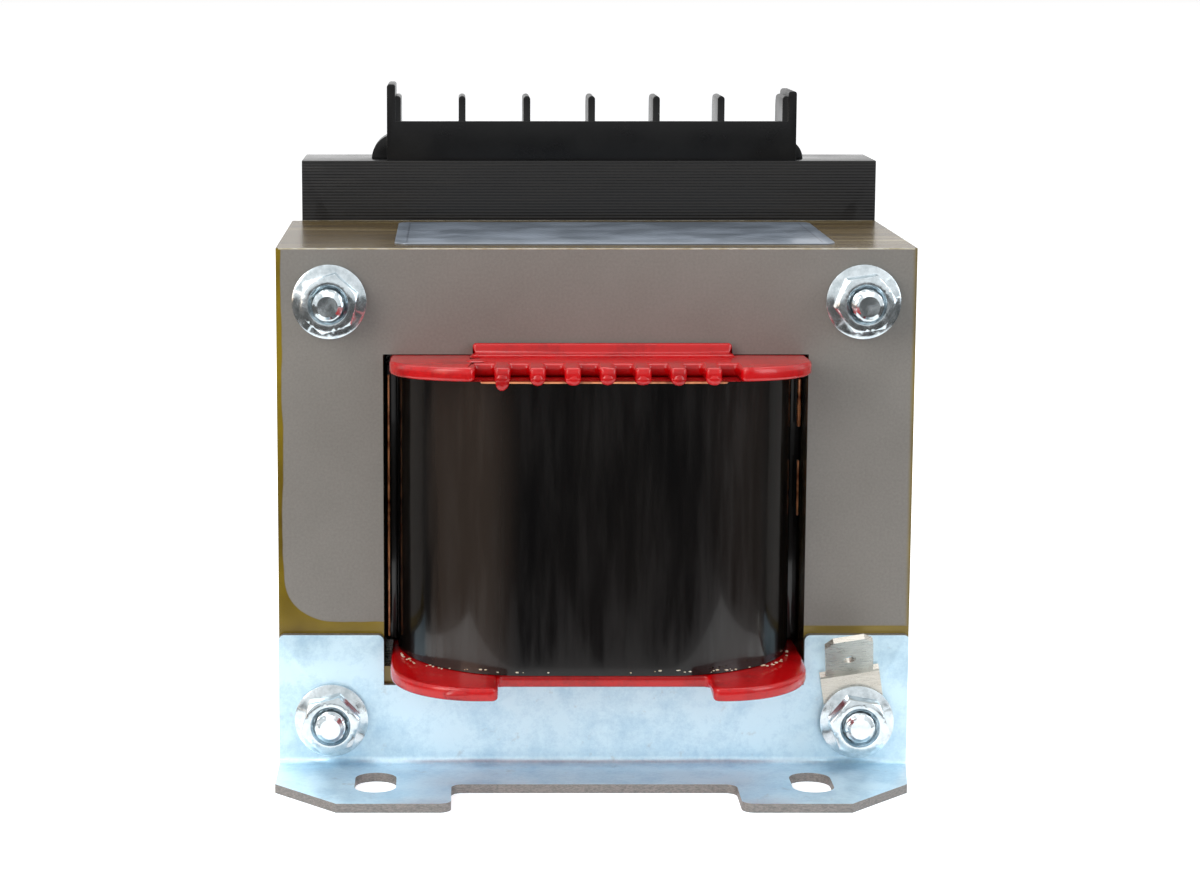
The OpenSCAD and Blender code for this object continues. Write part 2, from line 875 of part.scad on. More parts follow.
module terminal_plates() {
    color(tin)
        for (i = [0 : poles - 1])
            translate([pole_x(i), 0, 0])
                difference() {
                    union() {
                        translate([-plate_w / 2, plate_front_y, floor_top])
                            cube([plate_w, plate_l, plate_t]);
                        translate([-tag_w / 2, plate_rear_y - plate_t, tag_bottom])
                            cube([tag_w, plate_t, floor_top + plate_t - tag_bottom]);
                    }
                    translate([0, screw_y, floor_top - cut])
                        cylinder(h = plate_t + 2 * cut, d = screw_d + 2 * thread_play);
                    upright(plate_rear_y - plate_t - cut, plate_t + 2 * cut)
                        translate([0, tag_hole_z]) circle(d = tag_hole_d);
                }
}

module wire_clamps() {
    color(tin)
        for (i = [0 : poles - 1])
            translate([pole_x(i), screw_y, clamp_seat])
                difference() {
                    translate([-clamp_w / 2, -clamp_w / 2, 0])
                        cube([clamp_w, clamp_w, plate_t]);
                    translate([0, 0, -cut])
                        cylinder(h = plate_t + 2 * cut, d = screw_d + screw_play);
                }
}

module terminal_screws() {
    color(bright_zinc)
        for (i = [0 : poles - 1])
            translate([pole_x(i), screw_y, head_seat])
                difference() {
                    union() {
                        translate([0, 0, -screw_l]) cylinder(h = screw_l, d = screw_d);
                        cylinder(h = screw_head_h, d = screw_head_d);
                    }
                    translate([-screw_head_d, -driver_slot_w / 2, screw_head_h - driver_slot_h])
                        cube([2 * screw_head_d, driver_slot_w, driver_slot_h + cut]);
                }
}

// --- Leads ----------------------------------------------------------------------

function unit(v) = v / norm(v);

// A point of the curve that leaves p0 and reaches p3 with the given control points
function bezier(p0, p1, p2, p3, t) =
    pow(1 - t, 3) * p0 + 3 * pow(1 - t, 2) * t * p1 + 3 * (1 - t) * t * t * p2 + t * t * t * p3;

// A lead stands on the coil, rises through its slot, crosses to its terminal and turns into the tag
function lead_path(i) =
    let (
        foot = [slot_x(i), lead_slot_y, coil_top],
        rise = [slot_x(i), lead_slot_y, lead_straight_z],
        below = [pole_x(i), lead_tag_y, tag_hole_z - lead_bend_r],
        ease = (below[2] - rise[2]) / 2
    )
    concat(
        [foot],
        [for (k = [0 : 14]) bezier(rise, rise + [0, 0, ease], below - [0, 0, ease], below, k / 14)],
        [for (a = [15 : 15 : 90])
            below + lead_bend_r * [0, cos(a) - 1, sin(a)]],
        [[pole_x(i), lead_end_y, tag_hole_z]]
    );

// Direction of a path at one of its points
function heading(path, k) =
    unit(path[min(k + 1, len(path) - 1)] - path[max(k - 1, 0)]);

function ring(centre, direction, r) =
    let (
        across = unit(cross([1, 0, 0], direction)),
        up = cross(direction, across)
    )
    [for (s = [0 : lead_sides - 1])
        let (a = 360 * s / lead_sides) centre + r * (cos(a) * across + sin(a) * up)];

module tube(path, d) {
    rings = len(path);
    points = [for (k = [0 : rings - 1]) each ring(path[k], heading(path, k), d / 2)];
    sides = [for (k = [0 : rings - 2], s = [0 : lead_sides - 1])
        let (n = (s + 1) % lead_sides)
        [k * lead_sides + s, k * lead_sides + n,
         (k + 1) * lead_sides + n, (k + 1) * lead_sides + s]];
    start = [for (s = [lead_sides - 1 : -1 : 0]) s];
    end = [for (s = [0 : lead_sides - 1]) (rings - 1) * lead_sides + s];
    polyhedron(points, concat([start, end], sides));
}

module lead(i) {
    if (i < poles)
        color(copper) tube(lead_path(i), lead_d);
}

e_laminations();
i_laminations();
bobbin();
primary_winding();
winding_barrier();
secondary_winding();
coil_tape();
front_foot();
rear_foot();
bolt_upper_left();
bolt_upper_right();
bolt_lower_left();
bolt_lower_right();
nut_upper_left();
nut_upper_right();
nut_lower_left();
nut_lower_right();
earth_tab();
rating_label();
terminal_angle();
terminal_strip();
terminal_plates();
wire_clamps();
terminal_screws();
lead(0);  // lead_1
lead(1);  // lead_2
lead(2);  // lead_3
lead(3);  // lead_4
lead(4);  // lead_5
lead(5);  // lead_6
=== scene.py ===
import math
import random

import bmesh
import bpy
from mathutils import Matrix, Vector


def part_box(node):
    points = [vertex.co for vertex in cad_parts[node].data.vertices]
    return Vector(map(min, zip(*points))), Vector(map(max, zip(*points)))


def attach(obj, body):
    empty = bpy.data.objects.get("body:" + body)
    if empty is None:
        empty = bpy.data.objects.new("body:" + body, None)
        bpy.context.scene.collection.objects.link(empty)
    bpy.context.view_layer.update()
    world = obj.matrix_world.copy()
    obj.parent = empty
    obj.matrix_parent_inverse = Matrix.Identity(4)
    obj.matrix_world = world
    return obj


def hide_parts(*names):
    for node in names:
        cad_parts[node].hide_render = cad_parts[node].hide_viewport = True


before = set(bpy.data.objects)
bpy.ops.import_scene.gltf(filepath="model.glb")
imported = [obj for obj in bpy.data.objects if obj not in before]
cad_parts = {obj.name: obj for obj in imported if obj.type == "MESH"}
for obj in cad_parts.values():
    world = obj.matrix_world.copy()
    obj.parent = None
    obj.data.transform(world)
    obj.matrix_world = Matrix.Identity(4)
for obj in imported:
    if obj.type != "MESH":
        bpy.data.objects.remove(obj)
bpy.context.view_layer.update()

mm = 0.001
perMm = 1000                                        # a noise scale of 1000 has grains 1 mm wide
smooth = {"interpolation_type": "SMOOTHSTEP"}       # a range with soft ends


def linear(hexColour, alpha=1.0):
    channels = [int(hexColour[i:i + 2], 16) / 255 for i in (1, 3, 5)]
    return tuple(c / 12.92 if c <= 0.04045 else ((c + 0.055) / 1.055) ** 2.4 for c in channels) + (alpha,)


# adds one node: a link or a value for each socket, a ramp's stops, and the node's own settings
def add(tree, kind, sockets=(), out=0, stops=(), **settings):
    made = tree.nodes.new("ShaderNode" + kind)
    for key, value in settings.items():
        setattr(made, key, value)
    for name, source in sockets.items() if isinstance(sockets, dict) else enumerate(sockets):
        if isinstance(source, bpy.types.NodeSocket):
            tree.links.new(source, made.inputs[name])
        else:
            made.inputs[name].default_value = source
    if stops:
        elements = made.color_ramp.elements
        for number, (position, colour) in enumerate((stops[0], stops[-1])):
            elements[number].position, elements[number].color = position, linear(colour)
        for position, colour in stops[1:-1]:
            elements.new(position).color = linear(colour)
    return made if out is None else made.outputs[out]


def newFinish(name, constants):
    finish = bpy.data.materials.new(name)
    finish.use_nodes = True
    tree = finish.node_tree
    shader = tree.nodes["Principled BSDF"]
    for key, value in constants.items():
        shader.inputs[key].default_value = value
    return finish, tree, shader.inputs, add(tree, "TexCoord", out="Object")


coreLook = {
    "face": "#85827d",      # rolled silicon steel under a thin satin varnish
    "faceDark": "#75726d",
    "varnish": "#8f7a1c",   # yellow oxide where the varnish pooled
    "varnishDark": "#5c4a12",
    "edgeDark": "#3a2d1b",
    "edgeMid": "#6d5a30",
    "edgePale": "#d8cda8",
    "sheetPitch": 0.5,      # mm, one sheet of the stack
    "halfWidth": 42.0,      # mm, from the middle to the core's side
    "rimWidth": 0.7,        # mm of yellow rim along the left edge
    "rimFoot": 20.3,        # mm, where the rim along the foot ends
    "rimCorner": 6.0,       # mm, how round the rim turns between the two
    "rimWander": 0.9,       # mm that the rim's line strays
    "grit": 0.35,           # mm, grain left by the rolls
    "cloud": 14.0,          # mm, thicker and thinner varnish
    "pool": 9.0,            # mm, length of one stray of the rim
    "streak": (30, 2200, 30),       # stretch of the fine browns, one sheet or less across
    "broad": (12, 260, 12),         # stretch of the broad browns, several sheets across
}


# varnished silicon steel: satin rolled faces, glossy brown sheet edges, yellow where the varnish ran thick
def makeVarnishedSteel():
    finish, tree, shader, place = newFinish("varnishedSiliconSteel", {"Metallic": 0.15})
    x, y, z = add(tree, "SeparateXYZ", (place,), out=None).outputs
    turned = add(tree, "SeparateXYZ", (add(tree, "NewGeometry", out="True Normal"),), out=None).outputs
    towardFront = add(tree, "Math", (turned[1],), operation="ABSOLUTE")
    facing = add(tree, "MapRange", (towardFront, 0.4, 0.8), **smooth)
    grain = add(tree, "TexNoise", {"Vector": place, "Scale": perMm / coreLook["grit"], "Detail": 3, "Roughness": 0.7})
    cloud = add(tree, "TexNoise", {"Vector": place, "Scale": perMm / coreLook["cloud"], "Detail": 3,
                                   "Roughness": 0.5})
    grainShare = add(tree, "Math", (grain, 0.55), operation="MULTIPLY")
    cloudShare = add(tree, "Math", (cloud, 0.45), operation="MULTIPLY")
    face = add(tree, "ValToRGB", (add(tree, "Math", (grainShare, cloudShare), operation="ADD"),), "Color",
               [(0.32, coreLook["faceDark"]), (0.68, coreLook["face"])])
    # the rim lies outside a rounded rectangle that stands in from the left edge and from the foot
    pool = add(tree, "TexNoise", {"Vector": place, "Scale": perMm / coreLook["pool"], "Detail": 2, "Roughness": 0.55})
    wander = add(tree, "Math", (add(tree, "Math", (pool, 0.5), operation="SUBTRACT"), coreLook["rimWander"]),
                 operation="MULTIPLY")
    fromMiddle = add(tree, "Math", (add(tree, "Math", (x,), operation="ABSOLUTE"), perMm), operation="MULTIPLY")
    level = add(tree, "Math", (z, perMm), operation="MULTIPLY")
    inX = add(tree, "Math", (fromMiddle, coreLook["halfWidth"] - coreLook["rimWidth"] - coreLook["rimCorner"]),
              operation="SUBTRACT")
    inZ = add(tree, "Math", (coreLook["rimFoot"] + coreLook["rimCorner"], level), operation="SUBTRACT")
    outX = add(tree, "Math", (inX, 0.0), operation="MAXIMUM")
    outZ = add(tree, "Math", (inZ, 0.0), operation="MAXIMUM")
    squareX = add(tree, "Math", (outX, outX), operation="MULTIPLY")
    squareZ = add(tree, "Math", (outZ, outZ), operation="MULTIPLY")
    reach = add(tree, "Math", (add(tree, "Math", (squareX, squareZ), operation="ADD"),), operation="SQRT")
    strayed = add(tree, "Math", (reach, wander), operation="ADD")
    onRim = add(tree, "MapRange", (strayed, coreLook["rimCorner"] - 0.05, coreLook["rimCorner"] + 0.15), **smooth)
    leftSide = add(tree, "MapRange", (x, -20 * mm, -30 * mm), **smooth)
    rightEdge = add(tree, "MapRange", (x, 41.3 * mm, 42.0 * mm, 0.0, 0.75), **smooth)
    footLine = add(tree, "Math", (add(tree, "MapRange", (z, 19.9 * mm, 19.6 * mm), **smooth), 0.85),
                   operation="MULTIPLY")
    rim = add(tree, "Math", (onRim, leftSide), operation="MULTIPLY")
    rim = add(tree, "Math", (rim, rightEdge), operation="MAXIMUM")
    rim = add(tree, "Math", (rim, footLine), operation="MAXIMUM")
    yellow = add(tree, "ValToRGB", (cloud,), "Color", [(0.3, coreLook["varnishDark"]), (0.6, coreLook["varnish"])])
    face = add(tree, "Mix", {0: rim, 6: face, 7: yellow}, 2, data_type="RGBA")
    # a thin gap between neighbouring sheets, and each sheet's edge in its own brown
    sheet = add(tree, "Math", (y, coreLook["sheetPitch"] * mm), operation="DIVIDE")
    sheet = add(tree, "Math", (sheet,), operation="FRACT")
    fromCentre = add(tree, "Math", (add(tree, "Math", (sheet, 0.5), operation="SUBTRACT"),), operation="ABSOLUTE")
    groove = add(tree, "Math", (fromCentre, 2.0), operation="MULTIPLY")
    along = add(tree, "Mapping", {"Vector": place, "Scale": coreLook["streak"]})
    streak = add(tree, "TexNoise", {"Vector": along, "Scale": 1.0, "Detail": 4, "Roughness": 0.6})
    across = add(tree, "Mapping", {"Vector": place, "Scale": coreLook["broad"]})
    broad = add(tree, "TexNoise", {"Vector": across, "Scale": 1.0, "Detail": 3, "Roughness": 0.6})
    streakShare = add(tree, "Math", (streak, 0.6), operation="MULTIPLY")
    broadShare = add(tree, "Math", (broad, 0.4), operation="MULTIPLY")
    edge = add(tree, "ValToRGB", (add(tree, "Math", (streakShare, broadShare), operation="ADD"),), "Color",
               [(0.42, coreLook["edgeDark"]), (0.56, coreLook["edgeMid"]), (0.72, coreLook["edgePale"])])
    gap = add(tree, "MapRange", (groove, 0.72, 0.98, 0.0, 0.7), **smooth)
    edge = add(tree, "Mix", {0: gap, 6: edge, 7: linear(coreLook["edgeDark"])}, 2, data_type="RGBA")
    tree.links.new(add(tree, "Mix", {0: facing, 6: edge, 7: face}, 2, data_type="RGBA"), shader["Base Color"])
    faceRough = add(tree, "MapRange", (rim, 0.0, 1.0, 0.50, 0.16), **smooth)
    tree.links.new(add(tree, "Mix", {0: facing, 2: 0.24, 3: faceRough}, data_type="FLOAT"), shader["Roughness"])
    sheets = add(tree, "Math", (add(tree, "MapRange", (groove, 0.65, 1.0, 1.0, 0.0), **smooth),
                                add(tree, "Math", (1.0, facing), operation="SUBTRACT")), operation="MULTIPLY")
    sheetRise = add(tree, "Math", (sheets, 0.6), operation="MULTIPLY")
    grainRise = add(tree, "Math", (grain, 0.10), operation="MULTIPLY")
    rimRise = add(tree, "Math", (rim, 0.4), operation="MULTIPLY")
    height = add(tree, "Math", (sheetRise, add(tree, "Math", (grainRise, rimRise), operation="ADD")), operation="ADD")
    tree.links.new(add(tree, "Bump", {"Height": height, "Distance": 0.06 * mm, "Strength": 0.8}), shader["Normal"])
    return finish


bobbinLook = {
    "red": "#c6070d",
    "deep": "#980308",
    "cloud": 6.0,           # mm, unevenness of the colour
    "speck": 0.5,           # mm, specks in the varnish
    "wave": 2.6,            # mm, waves of the coat
    "edgeRound": 0.45,      # mm on every edge
    "cornerRound": 1.2,     # mm on the upright corners of the two flanges
    "upperEdge": 38.0,      # mm from the middle, past which the upper flange's corners lie
    "lowerEdge": 31.0,      # mm, the same for the lower flange
    "lowerTop": 20.0,       # mm, the level that the lower flange stays under
}


# moulded nylon under a coat of varnish: saturated red, wet-looking, slightly uneven
def makeRedNylon():
    finish, tree, shader, place = newFinish("redMouldedNylon", {
        "Roughness": 0.24, "IOR": 1.53, "Specular IOR Level": 0.35, "Coat Weight": 0.3, "Coat Roughness": 0.06,
        "Subsurface Weight": 0.08, "Subsurface Radius": (2 * mm, 0.6 * mm, 0.6 * mm)})
    cloud = add(tree, "TexNoise", {"Vector": place, "Scale": perMm / bobbinLook["cloud"], "Detail": 3,
                                   "Roughness": 0.55})
    speck = add(tree, "TexNoise", {"Vector": place, "Scale": perMm / bobbinLook["speck"], "Detail": 2,
                                   "Roughness": 0.7})
    waves = add(tree, "TexNoise", {"Vector": place, "Scale": perMm / bobbinLook["wave"], "Detail": 3,
                                   "Roughness": 0.45})
    cloudShare = add(tree, "Math", (cloud, 0.7), operation="MULTIPLY")
    speckShare = add(tree, "Math", (speck, 0.3), operation="MULTIPLY")
    shade = add(tree, "Math", (cloudShare, speckShare), operation="ADD")
    tree.links.new(add(tree, "ValToRGB", (shade,), "Color", [(0.30, bobbinLook["deep"]), (0.52, bobbinLook["red"])]),
                   shader["Base Color"])
    tree.links.new(add(tree, "Bump", {"Height": waves, "Distance": 0.10 * mm, "Strength": 0.55}), shader["Normal"])
    return finish


coilLook = {
    "tape": "#050506",
    "film": "#141211",
    "paintedSheen": "#2c2520",         # painted reflection: brown down the front's left and right
    "streak": 1.8,              # mm, width of an upright streak of varnish
    "cloud": 9.0,               # mm
    "copper": "#c4703a",
    "glintCopper": "#f0a06a",
    "copperDark": "#7a3a18",
    "patch": 2.2,               # mm, patches in the enamel
    "wirePitch": 0.9,           # mm, one turn of wire
    "halfX": 26.2,              # mm, the coil's half width and half depth outside its tape
    "halfY": 33.1,
    "corner": 17.0,             # mm radius of the tape's corners
    "flareFrom": 21.0,          # mm, half the core's depth: outside it the coil is free to spread
    "flare": 2.2,               # degrees that the flanges bend apart there
    "ripple": 0.05,             # mm, unevenness of the tape
}


# polyester tape drowned in varnish: near black, a film that pools in upright streaks, with a painted brown reflection
# down the front
def makeBlackTape():
    finish, tree, shader, place = newFinish("varnishedBlackTape", {
        "IOR": 1.5, "Specular IOR Level": 0.3, "Coat Weight": 0.25, "Coat Roughness": 0.05})
    upright = add(tree, "Mapping", {"Vector": place, "Scale": (1, 1, 0.10)})
    streak = add(tree, "TexNoise", {"Vector": upright, "Scale": perMm / coilLook["streak"], "Detail": 4,
                                    "Roughness": 0.6})
    drawn = add(tree, "Mapping", {"Vector": place, "Scale": (1, 1, 0.3)})
    cloud = add(tree, "TexNoise", {"Vector": drawn, "Scale": perMm / coilLook["cloud"], "Detail": 3,
                                   "Roughness": 0.55})
    shade = add(tree, "Math", (add(tree, "Math", (streak, cloud), operation="ADD"), 0.5), operation="MULTIPLY")
    film = add(tree, "ValToRGB", (shade,), "Color", [(0.38, coilLook["tape"]), (0.72, coilLook["film"])])
    # painted reflection: brown down the front's left and more faintly its right, with edges that follow the streaks
    x = add(tree, "SeparateXYZ", (place,), out="X")
    stray = add(tree, "Math", (add(tree, "Math", (streak, 0.5), operation="SUBTRACT"), 2 * mm), operation="MULTIPLY")
    x = add(tree, "Math", (x, stray), operation="ADD")
    bands = []
    for outer, inner, share in (((-22.5, -20.5), (-9.5, -15.0), 0.9), ((12.0, 19.0), (22.5, 21.0), 0.35)):
        sides = [add(tree, "MapRange", (x, start * mm, end * mm), **smooth) for start, end in (outer, inner)]
        bands.append(add(tree, "Math", (add(tree, "Math", sides, operation="MULTIPLY"), share), operation="MULTIPLY"))
    paintedReflection = add(tree, "Math", bands, operation="ADD")
    tree.links.new(add(tree, "Mix", {0: paintedReflection, 6: film, 7: linear(coilLook["paintedSheen"])}, 2, data_type="RGBA"),
                   shader["Base Color"])
    tree.links.new(add(tree, "MapRange", (streak, 0.3, 0.7, 0.10, 0.26), **smooth), shader["Roughness"])
    height = add(tree, "Math", (add(tree, "Math", (streak, 0.35), operation="MULTIPLY"), cloud), operation="ADD")
    tree.links.new(add(tree, "Bump", {"Height": height, "Distance": 0.12 * mm, "Strength": 0.5}), shader["Normal"])
    return finish


# enamelled copper: warm metal under a clear film, with the turns of wire standing out
def makeEnamelledCopper(name, copper, metallic, turns):
    finish, tree, shader, place = newFinish(name, {
        "Metallic": metallic, "Roughness": 0.28, "Coat Weight": 0.6, "Coat Roughness": 0.08})
    patch = add(tree, "TexNoise", {"Vector": place, "Scale": perMm / coilLook["patch"], "Detail": 3,
                                   "Roughness": 0.55})
    tree.links.new(add(tree, "ValToRGB", (patch,), "Color", [(0.32, coilLook["copperDark"]), (0.58, copper)]),
                   shader["Base Color"])
    height, depth, strength = patch, 0.05 * mm, 0.5
    if turns:
        z = add(tree, "SeparateXYZ", (place,), out="Z")
        turn = add(tree, "Math", (z, 2 * math.pi / (coilLook["wirePitch"] * mm)), operation="MULTIPLY")
        height, depth, strength = add(tree, "Math", (turn,), operation="SINE"), 0.25 * mm, 0.9
    tree.links.new(add(tree, "Bump", {"Height": height, "Distance": depth, "Strength": strength}), shader["Normal"])
    return finish


steelLook = {
    "zinc": "#d2eefc",
    "zincDark": "#b2d5ea",
    "sheared": "#8b8078",       # steel bared by the shears
    "shearedDark": "#5d534a",
    "cloud": 5.0,               # mm, clouds of the passivate
    "fine": 0.5,                # mm, grain under the plating, drawn coarser than it is so that it shows
    "stain": 3.2,               # mm, small stains
    "grit": 0.4,                # mm, torn grain of a sheared edge
    "hardware": "#dbe5ea",
    "hardwareDark": "#b3bfc5",
    "hardwareCloud": 1.6,       # mm
    "toolMark": 0.8,            # mm
    "tin": "#d2cfc6",
    "tinDark": "#b4b0a6",
    "brush": 1.5,               # mm, marks of rolling
}


# zinc plated sheet with a blue passivate: soft cloudy shine, bare brownish metal where it was sheared
def makeZincSheet():
    finish, tree, shader, place = newFinish("bluePassivatedZinc", {"Metallic": 0.5})
    z = add(tree, "SeparateXYZ", (place,), out="Z")
    turned = add(tree, "SeparateXYZ", (add(tree, "NewGeometry", out="True Normal"),), out=None).outputs
    cloud = add(tree, "TexNoise", {"Vector": place, "Scale": perMm / steelLook["cloud"], "Detail": 5,
                                   "Roughness": 0.6})
    fine = add(tree, "TexNoise", {"Vector": place, "Scale": perMm / steelLook["fine"], "Detail": 3, "Roughness": 0.7})
    spot = add(tree, "TexNoise", {"Vector": place, "Scale": perMm / steelLook["stain"], "Detail": 4,
                                  "Roughness": 0.7})
    stain = add(tree, "MapRange", (spot, 0.60, 0.72, 0.0, 0.25), **smooth)
    cloudShare = add(tree, "Math", (cloud, 0.7), operation="MULTIPLY")
    fineShare = add(tree, "Math", (fine, 0.3), operation="MULTIPLY")
    plate = add(tree, "ValToRGB", (add(tree, "Math", (cloudShare, fineShare), operation="ADD"),), "Color",
                [(0.34, steelLook["zincDark"]), (0.56, steelLook["zinc"])])
    plate = add(tree, "Mix", {0: stain, 6: plate, 7: linear(steelLook["sheared"])}, 2, data_type="RGBA")
    # sheared edges: whatever isn't level on the foot's plate, and whatever doesn't face front or rear above it
    isLow = add(tree, "MapRange", (z, 1.4 * mm, 1.2 * mm), **smooth)
    isHigh = add(tree, "MapRange", (z, 3.0 * mm, 3.4 * mm), **smooth)
    edges = []
    for along, where in ((turned[2], isLow), (turned[1], isHigh)):
        level = add(tree, "MapRange", (add(tree, "Math", (along,), operation="ABSOLUTE"), 0.2, 0.5), **smooth)
        cut = add(tree, "Math", (1.0, level), operation="SUBTRACT")
        edges.append(add(tree, "Math", (cut, where), operation="MULTIPLY"))
    sheared = add(tree, "Math", edges, operation="ADD", use_clamp=True)
    upright = add(tree, "Mapping", {"Vector": place, "Scale": (1, 1, 3)})
    grit = add(tree, "TexNoise", {"Vector": upright, "Scale": perMm / steelLook["grit"], "Detail": 3,
                                  "Roughness": 0.7})
    bare = add(tree, "ValToRGB", (grit,), "Color", [(0.35, steelLook["shearedDark"]), (0.62, steelLook["sheared"])])
    bareShare = add(tree, "Math", (sheared, 0.9), operation="MULTIPLY")
    tree.links.new(add(tree, "Mix", {0: bareShare, 6: plate, 7: bare}, 2, data_type="RGBA"), shader["Base Color"])
    rough = add(tree, "MapRange", (cloud, 0.3, 0.7, 0.30, 0.42), **smooth)
    roughEdge = add(tree, "Math", (sheared, 0.15), operation="MULTIPLY")
    tree.links.new(add(tree, "Math", (rough, roughEdge), operation="ADD"), shader["Roughness"])
    height = add(tree, "Math", (fine, add(tree, "Math", (grit, sheared), operation="MULTIPLY")), operation="ADD")
    tree.links.new(add(tree, "Bump", {"Height": height, "Distance": 0.02 * mm, "Strength": 0.5}), shader["Normal"])
    return finish


# bright zinc on turned and pressed steel: mirror-like with faint tool marks
def makeBrightZinc():
    finish, tree, shader, place = newFinish("brightZincHardware", {"Metallic": 0.94})
    cloud = add(tree, "TexNoise", {"Vector": place, "Scale": perMm / steelLook["hardwareCloud"], "Detail": 4,
                                   "Roughness": 0.6})
    marks = add(tree, "TexNoise", {"Vector": place, "Scale": perMm / steelLook["toolMark"], "Detail": 2,
                                   "Roughness": 0.4})
    tree.links.new(add(tree, "ValToRGB", (cloud,), "Color",
                       [(0.3, steelLook["hardwareDark"]), (0.6, steelLook["hardware"])]), shader["Base Color"])
    tree.links.new(add(tree, "MapRange", (cloud, 0.35, 0.7, 0.12, 0.24), **smooth), shader["Roughness"])
    tree.links.new(add(tree, "Bump", {"Height": marks, "Distance": 0.03 * mm, "Strength": 0.35}), shader["Normal"])
    return finish


# tinned brass: warm grey, rolled, slightly dull
def makeTinnedBrass():
    finish, tree, shader, place = newFinish("tinnedBrass", {"Metallic": 0.75})
    level = add(tree, "Mapping", {"Vector": place, "Scale": (1, 1, 12)})
    rolled = add(tree, "TexNoise", {"Vector": level, "Scale": perMm / steelLook["brush"], "Detail": 4,
                                    "Roughness": 0.6})
    tree.links.new(add(tree, "ValToRGB", (rolled,), "Color", [(0.3, steelLook["tinDark"]), (0.6, steelLook["tin"])]),
                   shader["Base Color"])
    tree.links.new(add(tree, "MapRange", (rolled, 0.3, 0.7, 0.24, 0.38), **smooth), shader["Roughness"])
    tree.links.new(add(tree, "Bump", {"Height": rolled, "Distance": 0.02 * mm, "Strength": 0.4}), shader["Normal"])
    return finish


plasticLook = {
    "black": "#0b0c0e",
    "blackPale": "#141414",
    "fibre": 0.3,               # mm, glass fibres under the skin, drawn coarser than they are so that they show
    "cloud": 8.0,               # mm
    "board": "#0c0d0f",
    "boardPale": "#1e1b18",
    "layerPitch": 0.42,         # mm, one layer of the board
    "layerWander": 20.0,        # mm, length of a bend in the layers
    "weave": 12.0,              # mm, along the layers
}


# glass filled nylon: black moulding, fine sparkle in a soft gloss
def makeBlackMoulding():
    finish, tree, shader, place = newFinish("blackGlassNylon", {"IOR": 1.53, "Specular IOR Level": 0.25})
    fine = add(tree, "TexNoise", {"Vector": place, "Scale": perMm / plasticLook["fibre"], "Detail": 3,
                                  "Roughness": 0.7})
    cloud = add(tree, "TexNoise", {"Vector": place, "Scale": perMm / plasticLook["cloud"], "Detail": 3,
                                   "Roughness": 0.55})
    shade = add(tree, "Math", (add(tree, "Math", (fine, cloud), operation="ADD"), 0.5), operation="MULTIPLY")
    tree.links.new(add(tree, "ValToRGB", (shade,), "Color",
                       [(0.35, plasticLook["black"]), (0.75, plasticLook["blackPale"])]), shader["Base Color"])
    tree.links.new(add(tree, "MapRange", (cloud, 0.3, 0.7, 0.26, 0.38), **smooth), shader["Roughness"])
    tree.links.new(add(tree, "Bump", {"Height": fine, "Distance": 0.02 * mm, "Strength": 0.5}), shader["Normal"])
    return finish


# laminated board under black varnish: fine level layers show through the gloss
def makeVarnishedBoard():
    finish, tree, shader, place = newFinish("blackVarnishedBoard", {
        "IOR": 1.5, "Specular IOR Level": 0.3, "Coat Weight": 0.15, "Coat Roughness": 0.08})
    z = add(tree, "SeparateXYZ", (place,), out="Z")
    bend = add(tree, "TexNoise", {"Vector": place, "Scale": perMm / plasticLook["layerWander"], "Detail": 2,
                                  "Roughness": 0.55})
    turn = add(tree, "Math", (z, 2 * math.pi / (plasticLook["layerPitch"] * mm)), operation="MULTIPLY")
    turn = add(tree, "Math", (turn, add(tree, "Math", (bend, 1.2), operation="MULTIPLY")), operation="ADD")
    crest = add(tree, "Math", (add(tree, "Math", (turn,), operation="SINE"), 1.0), operation="ADD")
    layer = add(tree, "Math", (crest, 0.5), operation="MULTIPLY")
    level = add(tree, "Mapping", {"Vector": place, "Scale": (1, 1, 24)})
    weave = add(tree, "TexNoise", {"Vector": level, "Scale": perMm / plasticLook["weave"], "Detail": 4,
                                   "Roughness": 0.65})
    layerShare = add(tree, "Math", (layer, 0.35), operation="MULTIPLY")
    weaveShare = add(tree, "Math", (weave, 0.65), operation="MULTIPLY")
    tree.links.new(add(tree, "ValToRGB", (add(tree, "Math", (layerShare, weaveShare), operation="ADD"),), "Color",
                       [(0.40, plasticLook["board"]), (0.85, plasticLook["boardPale"])]), shader["Base Color"])
    tree.links.new(add(tree, "MapRange", (weave, 0.3, 0.7, 0.16, 0.32), **smooth), shader["Roughness"])
    height = add(tree, "Math", (layer, weave), operation="ADD")
    tree.links.new(add(tree, "Bump", {"Height": height, "Distance": 0.03 * mm, "Strength": 0.6}), shader["Normal"])
    return finish


labelLook = {
    "foil": "#8f9aa8",
    "foilDark": "#7f8a97",
    "ruling": "#5d6673",
    "border": 1.6,          # mm, from the label's edge to the ruled line
    "halfLine": 0.12,       # mm, half the line's width
    "rowPitch": 5.5,        # mm between the level rules
    "cloud": 6.0,           # mm
    "grain": 0.6,           # mm
}


